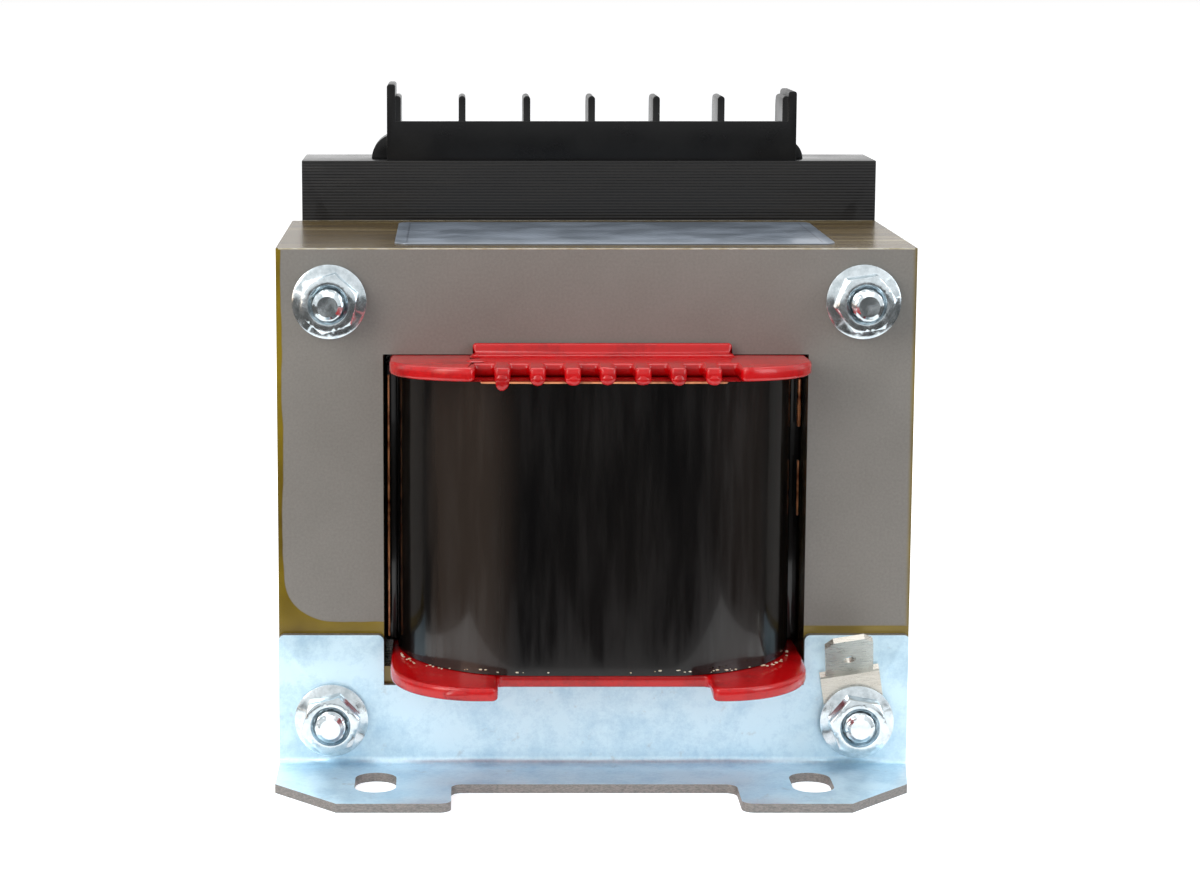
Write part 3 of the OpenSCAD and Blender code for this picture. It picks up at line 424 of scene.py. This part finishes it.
# satin polyester film with a plain ruled border and level rules, no lettering
def makeLabelFoil():
    finish, tree, shader, place = newFinish("satinLabelFilm", {
        "Metallic": 0.45, "Coat Weight": 0.4, "Coat Roughness": 0.15})
    low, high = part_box("rating_label")
    x, y, z = add(tree, "SeparateXYZ", (place,), out=None).outputs
    margins = []
    for along, lowest, highest in ((x, low.x, high.x), (y, low.y, high.y)):
        offset = add(tree, "Math", (along, (lowest + highest) / 2), operation="SUBTRACT")
        offset = add(tree, "Math", (offset,), operation="ABSOLUTE")
        margins.append(add(tree, "Math", ((highest - lowest) / 2, offset), operation="SUBTRACT"))
    inset = add(tree, "Math", margins, operation="MINIMUM")
    border = labelLook["border"] * mm
    fromLine = add(tree, "Math", (add(tree, "Math", (inset, border), operation="SUBTRACT"),), operation="ABSOLUTE")
    line = add(tree, "Math", (fromLine, labelLook["halfLine"] * mm), operation="LESS_THAN")
    row = add(tree, "Math", (add(tree, "Math", (y, low.y), operation="SUBTRACT"), labelLook["rowPitch"] * mm),
              operation="DIVIDE")
    row = add(tree, "Math", (add(tree, "Math", (row,), operation="FRACT"), 0.5), operation="SUBTRACT")
    row = add(tree, "Math", (row,), operation="ABSOLUTE")
    rule = add(tree, "Math", (add(tree, "Math", (row, 0.02), operation="LESS_THAN"),
                              add(tree, "Math", (inset, border), operation="GREATER_THAN")), operation="MULTIPLY")
    marks = add(tree, "Math", (add(tree, "Math", (line, rule), operation="ADD", use_clamp=True), 0.75),
                operation="MULTIPLY")
    cloud = add(tree, "TexNoise", {"Vector": place, "Scale": perMm / labelLook["cloud"], "Detail": 4,
                                   "Roughness": 0.55})
    grain = add(tree, "TexNoise", {"Vector": place, "Scale": perMm / labelLook["grain"], "Detail": 3,
                                   "Roughness": 0.6})
    foil = add(tree, "ValToRGB", (cloud,), "Color", [(0.3, labelLook["foilDark"]), (0.65, labelLook["foil"])])
    tree.links.new(add(tree, "Mix", {0: marks, 6: foil, 7: linear(labelLook["ruling"])}, 2, data_type="RGBA"),
                   shader["Base Color"])
    tree.links.new(add(tree, "MapRange", (cloud, 0.3, 0.7, 0.28, 0.42), **smooth), shader["Roughness"])
    tree.links.new(add(tree, "Bump", {"Height": grain, "Distance": 0.01 * mm, "Strength": 0.5}), shader["Normal"])
    return finish


sundryLook = {
    "film": "#b98f45", "filmDark": "#8a6a2c", "filmCloud": 5.0,         # mm
    # near white of the beads and of the core's edge strips: painted glints and highlights
    "pale": "#fbf5e0", "paleDark": "#d8c9a0", "paleCloud": 1.2,
    "solder": "#c3c5c6", "solderDark": "#8f9092", "solderCloud": 0.9,
}


# polyester film wound between the windings: amber and clear
def makeBarrierFilm():
    finish, tree, shader, place = newFinish("amberBarrierFilm", {"Roughness": 0.2, "IOR": 1.6, "Coat Weight": 0.3})
    cloud = add(tree, "TexNoise", {"Vector": place, "Scale": perMm / sundryLook["filmCloud"], "Detail": 3,
                                   "Roughness": 0.55})
    tree.links.new(add(tree, "ValToRGB", (cloud,), "Color",
                       [(0.3, sundryLook["filmDark"]), (0.6, sundryLook["film"])]),
                   shader["Base Color"])
    tree.links.new(add(tree, "Bump", {"Height": cloud, "Distance": 0.05 * mm, "Strength": 0.4}), shader["Normal"])
    return finish


# dripped varnish: clear beads with a hard shine, coloured near white as painted glints
def makeGlintVarnish():
    finish, tree, shader, place = newFinish("paleVarnishGlint", {
        "Roughness": 0.05, "IOR": 1.5, "Coat Weight": 1.0, "Coat Roughness": 0.03, "Transmission Weight": 0.35})
    cloud = add(tree, "TexNoise", {"Vector": place, "Scale": perMm / sundryLook["paleCloud"], "Detail": 2,
                                   "Roughness": 0.55})
    tree.links.new(add(tree, "ValToRGB", (cloud,), "Color",
                       [(0.35, sundryLook["paleDark"]), (0.65, sundryLook["pale"])]),
                   shader["Base Color"])
    tree.links.new(add(tree, "Bump", {"Height": cloud, "Distance": 0.04 * mm, "Strength": 0.4}), shader["Normal"])
    return finish


# solder: dull silver, melted and frozen with soft ripples
def makeSolder():
    finish, tree, shader, place = newFinish("solder", {"Metallic": 1.0})
    cloud = add(tree, "TexNoise", {"Vector": place, "Scale": perMm / sundryLook["solderCloud"], "Detail": 3,
                                   "Roughness": 0.55})
    tree.links.new(add(tree, "ValToRGB", (cloud,), "Color",
                       [(0.3, sundryLook["solderDark"]), (0.65, sundryLook["solder"])]), shader["Base Color"])
    tree.links.new(add(tree, "MapRange", (cloud, 0.3, 0.7, 0.22, 0.40), **smooth), shader["Roughness"])
    tree.links.new(add(tree, "Bump", {"Height": cloud, "Distance": 0.06 * mm, "Strength": 0.5}), shader["Normal"])
    return finish


finishes = {
    "core": makeVarnishedSteel(),
    "bobbin": makeRedNylon(),
    "tape": makeBlackTape(),
    "copper": makeEnamelledCopper("enamelledCopper", coilLook["copper"], metallic=1.0, turns=True),
    # lightened, partly matt copper for the leads and edge turns: a painted glint
    "wire": makeEnamelledCopper("enamelledLead", coilLook["glintCopper"], metallic=0.6, turns=False),
    "zinc": makeZincSheet(),
    "hardware": makeBrightZinc(),
    "tin": makeTinnedBrass(),
    "moulding": makeBlackMoulding(),
    "board": makeVarnishedBoard(),
    "label": makeLabelFoil(),
    "barrier": makeBarrierFilm(),
    "pale": makeGlintVarnish(),
    "solder": makeSolder(),
}
print("finishes made:", len(finishes))

nodeFinish = {
    "e_laminations": "core", "i_laminations": "core", "bobbin": "bobbin", "primary_winding": "copper",
    "winding_barrier": "barrier", "secondary_winding": "copper", "coil_tape": "tape", "front_foot": "zinc",
    "rear_foot": "zinc", "earth_tab": "tin", "rating_label": "label", "terminal_angle": "board",
    "terminal_strip": "moulding", "terminal_plates": "tin", "wire_clamps": "tin", "terminal_screws": "hardware",
}
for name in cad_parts:
    if name.startswith(("nut_", "bolt_")):
        nodeFinish[name] = "hardware"
    elif name.startswith("lead_"):
        nodeFinish[name] = "wire"

# rounded edges in mm; the core's packets, the leads and the earth tab keep theirs as cut
edgeRounds = {"bobbin": bobbinLook["edgeRound"], "front_foot": 0.12, "rear_foot": 0.12, "terminal_angle": 0.15,
              "terminal_strip": 0.2, "terminal_plates": 0.08, "wire_clamps": 0.12, "terminal_screws": 0.15,
              "nut_upper_left": 0.14, "nut_upper_right": 0.14, "nut_lower_left": 0.14,
              "nut_lower_right": 0.14, "rating_label": 0.03}

# degrees, seen from the front, at which each hexagon came to rest
nutTurns = {"nut_upper_left": 18, "nut_upper_right": 8, "nut_lower_left": 14, "nut_lower_right": -10}


def placed(name, data):
    thing = bpy.data.objects.new(name, data)
    bpy.context.scene.collection.objects.link(thing)
    return thing


def newPiece(name, work, finish, smoothAngle):
    mesh = bpy.data.meshes.new(name)
    work.to_mesh(mesh)
    work.free()
    mesh.materials.append(finish)
    mesh.shade_smooth()
    mesh.set_sharp_from_angle(angle=math.radians(smoothAngle))
    piece = placed(name, mesh)
    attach(piece, "root")
    return piece


# the upright corners of the bobbin's two flanges
def flangeCorners(work):
    corners = []
    for edge in work.edges:
        a, b = (v.co for v in edge.verts)
        middleY, middleZ = abs(a.y + b.y) / 2 / mm, (a.z + b.z) / 2 / mm
        outer = middleY > bobbinLook["upperEdge"] or (middleZ < bobbinLook["lowerTop"]
                                                      and middleY > bobbinLook["lowerEdge"])
        upright = abs((a - b).normalized().z) > 0.9
        if outer and upright and len(edge.link_faces) == 2 and edge.calc_face_angle(0) > math.radians(40):
            corners.append(edge)
    return corners


def dressNode(name):
    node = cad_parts[name]
    finish = finishes[nodeFinish[name]]
    if name not in edgeRounds:
        for slot in node.material_slots:
            slot.material = finish
        return
    work = bmesh.new()
    work.from_mesh(node.data)
    bmesh.ops.remove_doubles(work, verts=work.verts, dist=1e-6)
    bmesh.ops.dissolve_limit(work, angle_limit=math.radians(0.4), verts=work.verts, edges=work.edges)
    if name in nutTurns:
        low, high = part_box(name)
        turned = Matrix.Rotation(-math.radians(nutTurns[name]), 3, "Y")
        bmesh.ops.rotate(work, verts=work.verts, cent=(low + high) / 2, matrix=turned)
    if name == "bobbin":
        bmesh.ops.bevel(work, geom=flangeCorners(work), offset=bobbinLook["cornerRound"] * mm, segments=5,
                        profile=0.5, affect="EDGES", clamp_overlap=True)
    sharp = [e for e in work.edges if len(e.link_faces) == 2 and e.calc_face_angle(0) > math.radians(32)]
    bmesh.ops.bevel(work, geom=sharp, offset=edgeRounds[name] * mm, segments=3, profile=0.5, affect="EDGES",
                    clamp_overlap=name != "bobbin")      # clamped, the bobbin's small webs would stop its rounding
    bmesh.ops.triangulate(work, faces=[f for f in work.faces if len(f.verts) > 4])
    piece = newPiece(name + "_rounded", work, finish, smoothAngle=34)
    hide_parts(name)


ownPieces = ("coil_tape", "secondary_winding", "bolt_upper_left", "bolt_upper_right", "bolt_lower_left",
             "bolt_lower_right")
for name in sorted(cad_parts):
    if name not in ownPieces:
        dressNode(name)
print("nodes dressed:", len(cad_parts) - len(ownPieces))

boltLook = {
    "pitch": 0.7,           # mm, with the outer and the root diameter of its thread
    "major": 4.0,
    "minor": 3.2,
    "thread": 14.0,         # mm of thread on the free end
    "point": 0.65,          # mm turned off the tip
    "headHeight": 2.8,      # mm
    "crown": 0.96,          # share of the flats that stays flat on top of the head
    "cone": 30,             # degrees of the cone that cuts the head's corners
    "turns": {"bolt_upper_left": 0.2, "bolt_upper_right": 0.75, "bolt_lower_left": 0.45, "bolt_lower_right": 0.05},
}


# a ring of points about an axis along Y, one for each radius
def ringOf(work, midX, y, midZ, radii):
    ring = []
    for k, radius in enumerate(radii):
        angle = 2 * math.pi * k / len(radii)
        ring.append(work.verts.new((midX + radius * math.cos(angle), y, midZ + radius * math.sin(angle))))
    return ring


def skin(work, rings):
    for a, b in zip(rings, rings[1:]):
        for k in range(len(a)):
            after = (k + 1) % len(a)
            work.faces.new((a[k], a[after], b[after], b[k]))


def cap(work, ring, tip):
    tip = work.verts.new(tip)
    for k in range(len(ring)):
        work.faces.new((tip, ring[(k + 1) % len(ring)], ring[k]))


# a bolt along -Y from its seat: rolled thread on the free end, pressed hexagon with a turned top behind
def makeBolt(nodeName, turn):
    low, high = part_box(nodeName)
    midX, midZ = (low.x + high.x) / 2, (low.z + high.z) / 2
    tipY, headTop = low.y, high.y
    headHeight = boltLook["headHeight"] * mm
    seatY = headTop - headHeight
    major, minor = boltLook["major"] / 2 * mm, boltLook["minor"] / 2 * mm
    pitch = boltLook["pitch"] * mm
    threadEnd = tipY + boltLook["thread"] * mm
    around, perPitch = 40, 10
    stations = []
    y = tipY
    while y < threadEnd:
        stations.append(y)
        y += pitch / perPitch
    stations += [threadEnd, seatY]
    work = bmesh.new()
    rings = []
    for y in stations:
        radii = []
        for k in range(around):
            radius = major
            if y < threadEnd:
                phase = ((y - tipY) / pitch - k / around) % 1.0
                crest = min(1.0, max(0.0, 1.6 * (1 - abs(2 * phase - 1)) - 0.25))
                radius = minor + (major - minor) * crest
            radii.append(min(radius, major - max(0.0, boltLook["point"] * mm - (y - tipY))))
        rings.append(ringOf(work, midX, y, midZ, radii))
    skin(work, rings)
    cap(work, rings[0], (midX, tipY, midZ))
    # the head: its radius follows the hexagon, cut by the cone at its top
    sides = 72
    flats = (high.z - low.z) / 2
    crown = flats * boltLook["crown"]
    rings = []
    for step in (0.0, 0.04, 0.5, 0.75, 0.82, 0.88, 0.94, 1.0):
        y = seatY + headHeight * step
        limit = crown + (headTop - y) / math.tan(math.radians(boltLook["cone"]))
        radii = []
        for k in range(sides):
            angle = 2 * math.pi * k / sides + turn
            hexagon = flats / math.cos((angle % (math.pi / 3)) - math.pi / 6)
            radii.append(min(hexagon, limit) * (1.0 if step else 0.985))
        rings.append(ringOf(work, midX, y, midZ, radii))
    for share, drop in ((0.9, 0.0), (0.82, 0.12), (0.5, 0.2)):
        rings.append(ringOf(work, midX, headTop - drop * mm, midZ, [crown * share] * sides))
    skin(work, rings)
    cap(work, rings[-1], (midX, headTop - drop * mm, midZ))
    cap(work, rings[0], (midX, seatY, midZ))
    bmesh.ops.recalc_face_normals(work, faces=work.faces)
    piece = newPiece(nodeName + "_threaded", work, finishes["hardware"], smoothAngle=30)
    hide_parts(nodeName)


for name, turn in boltLook["turns"].items():
    makeBolt(name, turn)
print("bolts threaded:", len(boltLook["turns"]))


# uneven drops; each is its centre in m, its radius in m and its stretch
def blobPiece(name, blobs, finish):
    work = bmesh.new()
    for number, (centre, size, squash) in enumerate(blobs):
        rand = random.Random(number + 11)
        phases = [rand.uniform(0, 6.28) for _ in range(3)]
        for vert in bmesh.ops.create_uvsphere(work, u_segments=14, v_segments=9, radius=1.0)["verts"]:
            lump = sum(math.sin(3 * vert.co[k] + phases[k]) for k in range(3)) / 3
            swell = 1 + 0.12 * lump
            vert.co = Vector([centre[k] + vert.co[k] * size * squash[k] * swell for k in range(3)])
    return newPiece(name, work, finish, smoothAngle=60)


solderLook = {"radius": 1.15, "stretch": (1.0, 0.75, 1.0), "behind": 1.0, "below": 0.6}     # mm

# solder on each tag, where the lead's end passes through it
joints = []
for number in range(1, 7):
    points = [v.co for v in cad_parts[f"lead_{number}"].data.vertices]
    top = max(v.z for v in points)
    frontY = min(v.y for v in points if v.z > top - 1.3 * mm)
    endX = [v.x for v in points if v.z > top - 0.4 * mm]
    centre = (sum(endX) / len(endX), frontY + solderLook["behind"] * mm, top - solderLook["below"] * mm)
    joints.append((centre, solderLook["radius"] * mm, solderLook["stretch"]))
blobPiece("solderJoints", joints, finishes["solder"])
print("leads soldered:", len(joints))


# a rounded band about the coil; past the core it spreads up and down with the flanges
def coilShell(name, inset, corner, lowest, highest, finish, stepFrom=None, stepRise=0.0):
    halfX, halfY = coilLook["halfX"] - inset, coilLook["halfY"] - inset
    perCorner, levels = 24, 14
    outline = []
    for quarter, (sideX, sideY) in enumerate(((1, 1), (-1, 1), (-1, -1), (1, -1))):
        for k in range(perCorner + 1):
            angle = math.pi / 2 * (quarter + k / perCorner)
            outline.append((sideX * (halfX - corner) + corner * math.cos(angle),
                            sideY * (halfY - corner) + corner * math.sin(angle)))
    work = bmesh.new()
    rows = []
    for level in range(levels + 1):
        t = level / levels
        row = []
        for x, y in outline:
            flare = max(0.0, abs(y) - coilLook["flareFrom"]) * math.tan(math.radians(coilLook["flare"]))
            low, high = lowest - flare, highest + flare / 2
            stepped = stepRise / halfY if stepFrom is not None and x > stepFrom and y < 0 else 0.0
            ripple = coilLook["ripple"] * math.sin(7 * t + x * 0.3) / halfY
            row.append(work.verts.new((x * mm, y * (1.0 + stepped + ripple) * mm, (low + (high - low) * t) * mm)))
        rows.append(row)
    skin(work, rows)
    for row in (rows[0], rows[-1]):
        skin(work, [row, [work.verts.new((v.co.x * 0.86, v.co.y * 0.88, v.co.z)) for v in row]])
    bmesh.ops.remove_doubles(work, verts=work.verts, dist=1e-7)
    bmesh.ops.recalc_face_normals(work, faces=work.faces)
    return newPiece(name, work, finish, smoothAngle=40)


# the tape, with the edge of its last turn at the front's right, and the last layer of wire that shows above it
tape = coilShell("coilTape", 0.0, coilLook["corner"], 16.2, 53.9, finishes["tape"],
                 stepFrom=21.0, stepRise=0.2)
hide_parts("coil_tape")
wire = coilShell("outerWinding", 0.65, coilLook["corner"] - 0.6, 16.25, 54.15, finishes["copper"])
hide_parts("secondary_winding")


# rounded bars; each is its lowest and highest corner and its edge's radius, in mm
def softBlocks(name, blocks, finish):
    work = bmesh.new()
    for low, high, bevel in blocks:
        verts = bmesh.ops.create_cube(work, size=1.0)["verts"]
        for vert in verts:
            vert.co = Vector([low[k] + (vert.co[k] + 0.5) * (high[k] - low[k]) for k in range(3)]) * mm
        edges = {e for v in verts for e in v.link_edges}
        bmesh.ops.bevel(work, geom=list(edges), offset=bevel * mm, segments=4, profile=0.5, affect="EDGES")
    return newPiece(name, work, finish, smoothAngle=50)


# dark fill in the slit between the coil and the window's walls: varnish, and painted shade where the slit lies deep
softBlocks("varnishAndShadeFill", [((side * 27.0 - 0.95, -14.0, 16.2), (side * 27.0 + 0.95, 14.0, 54.2), 0.4)
                           for side in (-1, 1)], finishes["tape"])
# bare turns that show beside the coil and in the slots of the comb, in a lightened copper that paints their glints
softBlocks("glintingEdgeTurns", [((-27.55, -17.5, 17.5), (-27.2, -16.5, 53.0), 0.15),
                         ((27.0, -17.5, 46.0), (27.5, -16.5, 52.5), 0.2),
                         ((27.1, -17.5, 34.0), (27.4, -16.5, 41.5), 0.14),
                         ((-15.3, -33.3, 53.95), (16.4, -31.6, 54.7), 0.3)], finishes["wire"])
print("coil wrapped")

combLook = {"pitch": 4.44, "middle": 0.8, "reach": 38.1, "tipLevel": 55.3, "tip": (1.08, 0.75, 0.85)}       # mm

# rounded tips on the comb's teeth, the second of them hanging lower
toothTips = [(((combLook["middle"] + k * combLook["pitch"]) * mm, side * combLook["reach"] * mm,
               combLook["tipLevel"] * mm), 1.0 * mm, combLook["tip"]) for k in range(-3, 4) for side in (-1, 1)]
toothTips[1] = (((combLook["middle"] - 3 * combLook["pitch"]) * mm, -combLook["reach"] * mm, 55.0 * mm), 1.0 * mm,
                (0.95, 0.75, 1.2))
blobPiece("toothTips", toothTips, finishes["bobbin"])
# flow of the moulding at the comb's left end, along the lower rim and on the comb's middle
blobPiece("rimSag", [((-15.7 * mm, -29.8 * mm, 56.40 * mm), 1.0 * mm, (1.4, 1.3, 0.35)),
                     ((-17.2 * mm, -38.0 * mm, 14.50 * mm), 1.0 * mm, (3.0, 0.65, 0.75)),
                     ((0.4 * mm, -38.0 * mm, 56.55 * mm), 0.75 * mm, (1.2, 0.8, 0.4))],
          finishes["bobbin"])
print("comb tipped")

# a pale strip along the core's upper edges: painted highlight of the edge, together with the varnish drawn out there
softBlocks("edgeHighlightStrip", [((-41.7, side * 20.86 - 0.14, 69.98), (41.7, side * 20.86 + 0.14, 70.22), 0.1)
                           for side in (-1, 1)], finishes["pale"])

beadLook = {
    "count": 60,
    "smallest": 0.05,       # mm, radius of a bead
    "largest": 0.16,
    "highest": 0.35,        # mm above the coil's foot
    "coreFace": 21.0,       # mm from the middle
}

# varnish beads along the coil's foot, round its front, near white: painted glints along the edge
tapeLow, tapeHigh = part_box("coil_tape")
rand = random.Random(7)
coreFace = beadLook["coreFace"] * mm
beads = []
for _ in range(beadLook["count"]):
    t = rand.uniform(-1, 1)
    across = abs(math.sin(t * math.pi / 2))
    x = math.copysign(across ** 0.62, t) * (tapeHigh.x - 0.6 * mm)
    y = -coreFace - (abs(tapeLow.y) - coreFace) * max(0.0, 1 - across ** 3.0) ** 0.5
    size = rand.uniform(beadLook["smallest"], beadLook["largest"]) * mm
    rise = rand.uniform(0.0, beadLook["highest"]) * mm
    beads.append(((x, y - 0.05 * mm, tapeLow.z + rise), size, (1.6, 0.8, 0.8)))
blobPiece("varnishBeadGlints", beads, finishes["pale"])
print("varnish laid, beads:", len(beads))

studioLook = {
    "paper": "#f4f4f4",
    "paperGlow": 0.66,      # what the paper gives on top of the lamps where it is seen, so that it shows white
    # colour of the hidden cards: painted dark reflection
    "card": "#2a2521",
    "ambient": 0.42,        # strength of the world on the object
    "keyPower": 3.5,        # W
    "fillPower": 2.0,
    "topPower": 2.7,
    "warmPower": 0.5,
    "rearPower": 1.4,
}


# 1 where the eye, a reflection or a clear thing looks, 0 where light falls on the object
def isSeen(tree):
    rays = add(tree, "LightPath", out=None).outputs
    seen = add(tree, "Math", (rays["Is Camera Ray"], rays["Is Glossy Ray"]), operation="MAXIMUM")
    return add(tree, "Math", (seen, rays["Is Transmission Ray"]), operation="MAXIMUM")


# matt white paper: plain, with the object's shadow on it
floorMesh = bpy.data.meshes.new("floor")
floorMesh.from_pydata([(-6, -6, 0), (6, -6, 0), (6, 6, 0), (-6, 6, 0)], [], [(0, 1, 2, 3)])
floor = placed("floor", floorMesh)
floor.location.z = -0.05 * mm
paper = bpy.data.materials.new("whitePaper")
paper.use_nodes = True
tree = paper.node_tree
shader = tree.nodes["Principled BSDF"]
shader.inputs["Base Color"].default_value = linear(studioLook["paper"])
shader.inputs["Roughness"].default_value = 0.9
glow = add(tree, "Emission", {"Color": linear("#ffffff"), "Strength": studioLook["paperGlow"]})
glowing = add(tree, "AddShader", (shader.outputs[0], glow))
shown = add(tree, "MixShader", (isSeen(tree), shader.outputs[0], glowing))
tree.links.new(shown, tree.nodes["Material Output"].inputs["Surface"])
floorMesh.materials.append(paper)

# dark cards lying in front and at both sides, out of the picture, that only reflections see: painted dark
# reflections, so that upright black faces shine dark
cardMesh = bpy.data.meshes.new("darkReflectionCards")
corners, faces = [], []
for left, near, right, far in ((-1.6, -1.4, 1.6, -0.1), (-1.6, -0.1, -0.1, 0.35), (0.1, -0.1, 1.6, 0.35)):
    faces.append(tuple(range(len(corners), len(corners) + 4)))
    corners += [(x, y, 2 * mm) for x, y in ((left, near), (right, near), (right, far), (left, far))]
cardMesh.from_pydata(corners, [], faces)
card = placed("darkReflectionCards", cardMesh)
card.visible_camera = card.visible_diffuse = card.visible_shadow = card.visible_transmission = False
felt = bpy.data.materials.new("darkReflectionFelt")
felt.use_nodes = True
felt.node_tree.nodes["Principled BSDF"].inputs["Base Color"].default_value = linear(studioLook["card"])
felt.node_tree.nodes["Principled BSDF"].inputs["Roughness"].default_value = 1.0
cardMesh.materials.append(felt)

world = bpy.data.worlds.new("studio")
bpy.context.scene.world = world
world.use_nodes = True
tree = world.node_tree
tree.nodes.clear()
ambient = add(tree, "Background", {"Color": linear("#f2f5f8"), "Strength": studioLook["ambient"]})
white = add(tree, "Background", {"Color": (1, 1, 1, 1), "Strength": 1.0})
add(tree, "OutputWorld", {"Surface": add(tree, "MixShader", (isSeen(tree), ambient, white))}, out=None)

# soft lamps: where each stands and its width and height in m, its power and its colour
lamps = (
    ("keyLeft", (-0.55, -0.55, 0.45), (0.45, 0.6), studioLook["keyPower"], "#fffdfa"),
    ("fillRight", (0.65, -0.45, 0.30), (0.35, 0.6), studioLook["fillPower"], "#f6faff"),
    ("topSoft", (0.0, 0.05, 0.75), (0.8, 0.6), studioLook["topPower"], "#ffffff"),
    ("cardLeft", (-0.50, -0.44, 0.12), (0.22, 0.36), studioLook["warmPower"], "#ffd9b8"),
    ("rearLeft", (-0.4, 0.6, 0.45), (0.4, 0.4), studioLook["rearPower"], "#ffffff"),
)
for name, position, (width, height), power, colour in lamps:
    lamp = bpy.data.lights.new(name, "AREA")
    lamp.shape = "RECTANGLE"
    lamp.size, lamp.size_y = width, height
    lamp.energy = power
    lamp.color = linear(colour)[:3]
    thing = placed(name, lamp)
    thing.location = position
    thing.rotation_euler = (Vector((0, 0, 0.04)) - Vector(position)).to_track_quat("-Z", "Y").to_euler()
print("studio lit, lamps:", len(lamps))

cameraLook = {"place": (-18.07, -421.0, 108.2), "aim": (0.0, 1.0, -0.1610), "lens": 92.0, "shift": 0.118}   # mm
camera = bpy.data.cameras.new("camera")
camera.sensor_width = 36
camera.lens = cameraLook["lens"]
camera.clip_start = 0.01
camera.shift_x = cameraLook["shift"]
viewer = placed("camera", camera)
viewer.location = Vector(cameraLook["place"]) * mm
viewer.rotation_euler = Vector(cameraLook["aim"]).to_track_quat("-Z", "Y").to_euler()
bpy.context.scene.camera = viewer

bpy.context.scene.view_settings.view_transform = "Standard"
